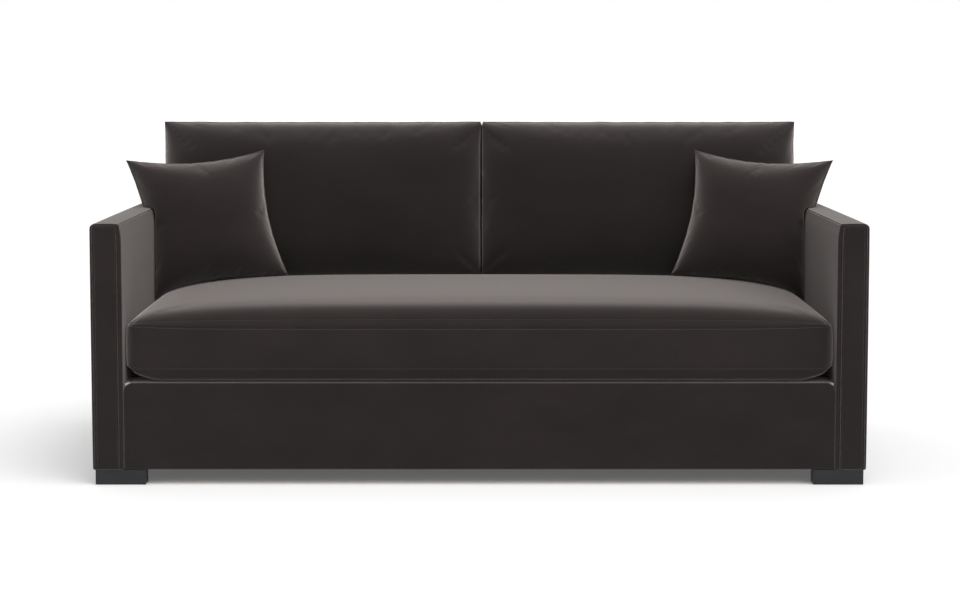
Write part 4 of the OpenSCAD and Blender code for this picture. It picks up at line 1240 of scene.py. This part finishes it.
# Width of the stretch that the swelling at the meeting ends moves
PRESS_REACH = 0.12
# Softness of the pressed ends' corners, and the distance from the meeting within which faces take the
# near-black velvet painted as the crease's shade
PRESS_SOFTNESS = 0.0012
CREASE_SHADE_REACH = 0.0008
# Gap to the inside back's velvet
INSIDE_BACK_GAP = 0.002
# How far the back cushions spread over the arms, above them, the height over an arm where that
# starts, the height it takes, and the width of the stretch that moves
OVER_ARM = 0.010
OVER_ARM_START = 0.008
OVER_ARM_EASE = 0.040
OVER_ARM_REACH = 0.10
# Gap beside the arm that the front of a pillow's edge leaves open
PILLOW_TURN = 0.004
# Share of a back cushion's panel that can press a pillow forward
PANEL_SHARE = 0.995
# Depth at which that gap starts to open, and the depth over which it does
PILLOW_TURN_START = 0.12
PILLOW_TURN_EASE = 0.07
# Depth inside the arm that a pillow is pressed out from
ARM_CORE = 0.10
# A high power makes the distance from there nearly square, with a small round corner
ARM_CORE_POWER = 16
PILLOW_FORM = {
    "size": (0.391, 0.142, 0.368), "pulls": (0.115, 0.138, 0.050, 0.132),
    "power": 2, "fullness": 0.55, "skew": 0.032, "ear": 0.006, "sag": 0.034, "pucker": 0.0004,
    "matrix": Matrix.Translation((-0.766, 0.1245, 0.6393))
    @ Matrix.Rotation(math.radians(17.6), 4, "Z") @ Matrix.Rotation(math.radians(-3.4), 4, "Y")
    @ Matrix.Rotation(math.radians(-10.9), 4, "X"),
}


def cell_corner(grid, us, vs, u, v, pick):
    """Highest or lowest corner value of the grid cell round each place, as pick says."""
    iu = np.clip(np.searchsorted(us, u) - 1, 0, len(us) - 2)
    iv = np.clip(np.searchsorted(vs, v) - 1, 0, len(vs) - 2)
    return pick([grid[iu + a, iv + b] for a in (0, 1) for b in (0, 1)], axis=0)


def above_seat(verts, seat):
    """Lifts points that would sink into the seat cushion's top."""
    points, us, vs = seat
    u = np.clip(verts[:, 0] / SEAT_HALF_W, -1, 1)
    v = np.clip((verts[:, 1] - SEAT_MID_Y) / SEAT_HALF_D, -1, 1)
    z = cell_corner(points[..., 2], us, vs, u, v, np.max)
    verts[:, 2] = np.maximum(verts[:, 2], z + REST_GAP)
    return verts


def clear_of_arm(verts):
    """Presses points out of the left arm, round its top inner edge. Only the rear of a pillow's
    edge touches the inner face, and its front turns away from it."""
    turn = PILLOW_TURN * smooth((PILLOW_TURN_START - verts[:, 1]) / PILLOW_TURN_EASE)
    face = -X_IN + ARM_SWELL + REST_GAP + turn
    low_x, low_z = face - ARM_CORE, ARM_Z + ARM_ARCH + REST_GAP - ARM_CORE
    across = np.maximum(verts[:, 0] - low_x, ON_FACE)
    up = np.maximum(verts[:, 2] - low_z, 0)
    reach = (across ** ARM_CORE_POWER + up ** ARM_CORE_POWER) ** (1 / ARM_CORE_POWER)
    push = ARM_CORE / reach
    inside = push > 1
    verts[inside, 0] = (low_x + across * push)[inside]
    verts[inside, 2] += (up * (push - 1))[inside]
    return verts


def in_front_of_back(verts, surface):
    """Presses points forward where they would sink into the left back cushion."""
    form = BACK_FORMS[-1]
    local = placed(verts, form["matrix"].inverted())
    points, us, vs = surface
    w, _, h = form["size"]
    u, v = local[:, 0] / (w / 2), local[:, 2] / (h / 2)
    within = np.maximum(np.abs(u), np.abs(v)) < PANEL_SHARE
    y = cell_corner(points[..., 1], us, vs, u, v, np.min)
    local[:, 1] = np.minimum(local[:, 1], np.where(within, y - REST_GAP, np.inf))
    return placed(local, form["matrix"])


def build_back_cushion(side, sim_grid, move, seat):
    """One loose back cushion, leaning on the inside back."""
    label, form = SIDES[side], BACK_FORMS[side]
    verts, quads, front, _, us, vs = knife_surface(form, sim_grid, move, BACK_STEP, 21 + side)
    surface = (verts[front], us, vs)
    width, _, height = form["size"]
    verts[:, 0] -= side * MEETING_PRESS[side] * bump(verts[:, 0] + side * width / 2, PRESS_REACH)
    notch = NOTCH * bump(height / 2 - verts[:, 2], NOTCH_HEIGHT)
    groove = MEETING_GROOVE * smooth((GROOVE_START - verts[:, 1]) / GROOVE_EASE)
    verts = placed(verts, form["matrix"])
    verts[:, 1] = np.minimum(verts[:, 1], back_y(verts[:, 2]) - INSIDE_BACK_GAP - REST_GAP)
    # Over the arms it spreads outwards, and beside them it stays within their inner faces
    over = OVER_ARM * smooth((verts[:, 2] - ARM_Z - OVER_ARM_START) / OVER_ARM_EASE)
    outward = side * verts[:, 0]
    outward += over * bump(outward - X_IN, OVER_ARM_REACH)
    outward = np.minimum(outward, X_IN - ARM_GAP + 1.2 * over)
    slant = MEETING_SLANT * (verts[:, 1] - back_y(verts[:, 2]) + width / 10)
    meeting = side * (MEETING_X + slant) + REST_GAP / 2 + notch + groove
    beyond = outward - meeting
    # Faces pressed into the meeting are marked for painted shade.
    crease_shade_faces = (beyond < CREASE_SHADE_REACH)[quads].all(axis=1)
    verts[:, 0] = side * (meeting + (beyond + np.hypot(beyond, PRESS_SOFTNESS)) / 2)
    verts = above_seat(verts, seat)
    # The back cushions take the copy of the velvet with more sheen, which lights it more: painted
    # light.
    piece = make_piece(f"{label}_back_cushion_velvet", verts, quads, f"{label}_back_cushion",
                       "velvet", [f"{label}_back_cushion_cover"], LIT_AND_SHADED_VELVETS["cushions"])
    # The crease between the two cushions is painted shade: a near-black velvet with almost no sheen.
    piece.data.materials.append(LIT_AND_SHADED_VELVETS["crease_shade"])
    piece.data.polygons.foreach_set("material_index", crease_shade_faces.astype(np.int32))
    return surface


def build_pillow(side, sim_grid, move, seat, back):
    """One throw pillow. Both are shaped in the left one's place, with puckers of their own, and
    the right one is then mirrored."""
    label = SIDES[side]
    verts, quads, *_ = knife_surface(PILLOW_FORM, sim_grid, move, PILLOW_STEP, 41 + side)
    verts = placed(verts, PILLOW_FORM["matrix"])
    verts = clear_of_arm(above_seat(in_front_of_back(verts, back), seat))
    if side > 0:
        verts[:, 0] *= -1
        quads = quads[:, ::-1]
    # The pillows take a paler copy of the velvet: painted light.
    piece = make_piece(f"{label}_pillow_velvet", verts, quads, f"{label}_pillow", "velvet",
                       [f"{label}_pillow_cover"], LIT_AND_SHADED_VELVETS["pillows"])


# Studio

def seen_directly(tree):
    """1 for rays from the camera, reflections and glass, and 0 for light that falls on things."""
    rays = add(tree, "ShaderNodeLightPath").outputs
    seen = combine(tree, "MAXIMUM", rays["Is Camera Ray"], rays["Is Glossy Ray"])
    return combine(tree, "MAXIMUM", seen, rays["Is Transmission Ray"])


FLOOR_SIZE = 60
FLOOR_GLOW = 0.10


def build_floor():
    """Pale floor that shows white to the camera and keeps the sofa's shadow."""
    made, tree = new_material("studio_floor")
    shade(made, Base_Color=(0.93, 0.93, 0.93, 1), Roughness=0.9, Specular_IOR_Level=0.0,
          Emission_Color=(1, 1, 1, 1),
          Emission_Strength=combine(tree, "MULTIPLY", seen_directly(tree), FLOOR_GLOW))
    corners = [(x * FLOOR_SIZE, y * FLOOR_SIZE, 0) for x, y in ((-1, -1), (1, -1), (1, 1), (-1, 1))]
    mesh = make_mesh("floor", corners, [(0, 1, 2, 3)])
    mesh.materials.append(made)
    floor = put("floor", mesh)


def build_world(horizon, zenith):
    """Soft light that grows towards the zenith, and plain white where the camera sees it."""
    world = bpy.data.worlds.new("studio")
    bpy.context.scene.world = world
    world.use_nodes = True
    tree = world.node_tree
    background = tree.nodes["Background"]
    way = add(tree, "ShaderNodeTexCoord").outputs["Generated"]
    up = add(tree, "ShaderNodeSeparateXYZ", Vector=way).outputs["Z"]
    strength = add(tree, "ShaderNodeMix", Factor=seen_directly(tree))
    tree.links.new(spread_value(tree, up, horizon, zenith), strength.inputs[2])
    strength.inputs[3].default_value = 1.0
    tree.links.new(strength.outputs[0], background.inputs["Strength"])
    background.inputs["Color"].default_value = (1, 1, 1, 1)


def build_key_light(level, towards, spread):
    """Very broad light from the front and the right, as from a large softbox."""
    data = bpy.data.lights.new("key", "SUN")
    data.energy = level * math.pi
    data.angle = math.radians(spread)
    key = put("key", data)
    key.rotation_euler = Vector(towards).to_track_quat("Z", "Y").to_euler()


# The photograph's camera: its lens in mm, the shifts of its picture, its place and its pitch
SENSOR = 36
LENS = 77.44
LENS_SHIFT = (0.0005, -0.0761)
CAMERA_PLACE = (0, -5.704, 1.0857)
CAMERA_PITCH = math.radians(-4.70)
CAMERA_SIGHT = 300


def build_camera():
    """Camera of the photograph, straight in front of the sofa and pitched down a little."""
    data = bpy.data.cameras.new("camera")
    data.sensor_width = SENSOR
    data.lens = LENS
    data.shift_x, data.shift_y = LENS_SHIFT
    data.clip_end = CAMERA_SIGHT
    camera = put("camera", data)
    camera.location = CAMERA_PLACE
    camera.rotation_euler = (math.pi / 2 + CAMERA_PITCH, 0, 0)
    bpy.context.scene.camera = camera


def build_upholstery():
    """Everything that is sewn or stapled to the frame, and the cushions' zips."""
    for side in SIDES:
        build_arm(side)
    build_front()
    build_inside_back()
    build_outside_back()
    build_deck()
    build_dust_cover()
    build_seat_zip()
    for side in SIDES:
        build_back_zip(side)


def build_cushions():
    """Simulates all five cushions together, then shapes them in the order they rest."""
    backs = [knife_sim_piece(BACK_FORMS[side], *BACK_SIM) for side in SIDES]
    pillows = [knife_sim_piece(PILLOW_FORM, *PILLOW_SIM) for _ in SIDES]
    sims = [seat_sim_piece()] + [sim for sim, _ in backs + pillows]
    grids = [grid for _, grid in backs + pillows]
    seat_move, *moves = inflate(sims)
    seat = build_seat(seat_move)
    surfaces = [build_back_cushion(side, grids[n], moves[n], seat) for n, side in enumerate(SIDES)]
    for n, side in enumerate(SIDES, start=len(SIDES)):
        build_pillow(side, grids[n], moves[n], seat, surfaces[0])


finish_cad_nodes()
build_upholstery()
build_cushions()
build_floor()
build_world(horizon=0.28, zenith=0.78)
build_key_light(level=0.54, towards=(0.35, -0.50, 1.0), spread=60)
build_camera()
bpy.context.scene.view_settings.view_transform = "Standard"
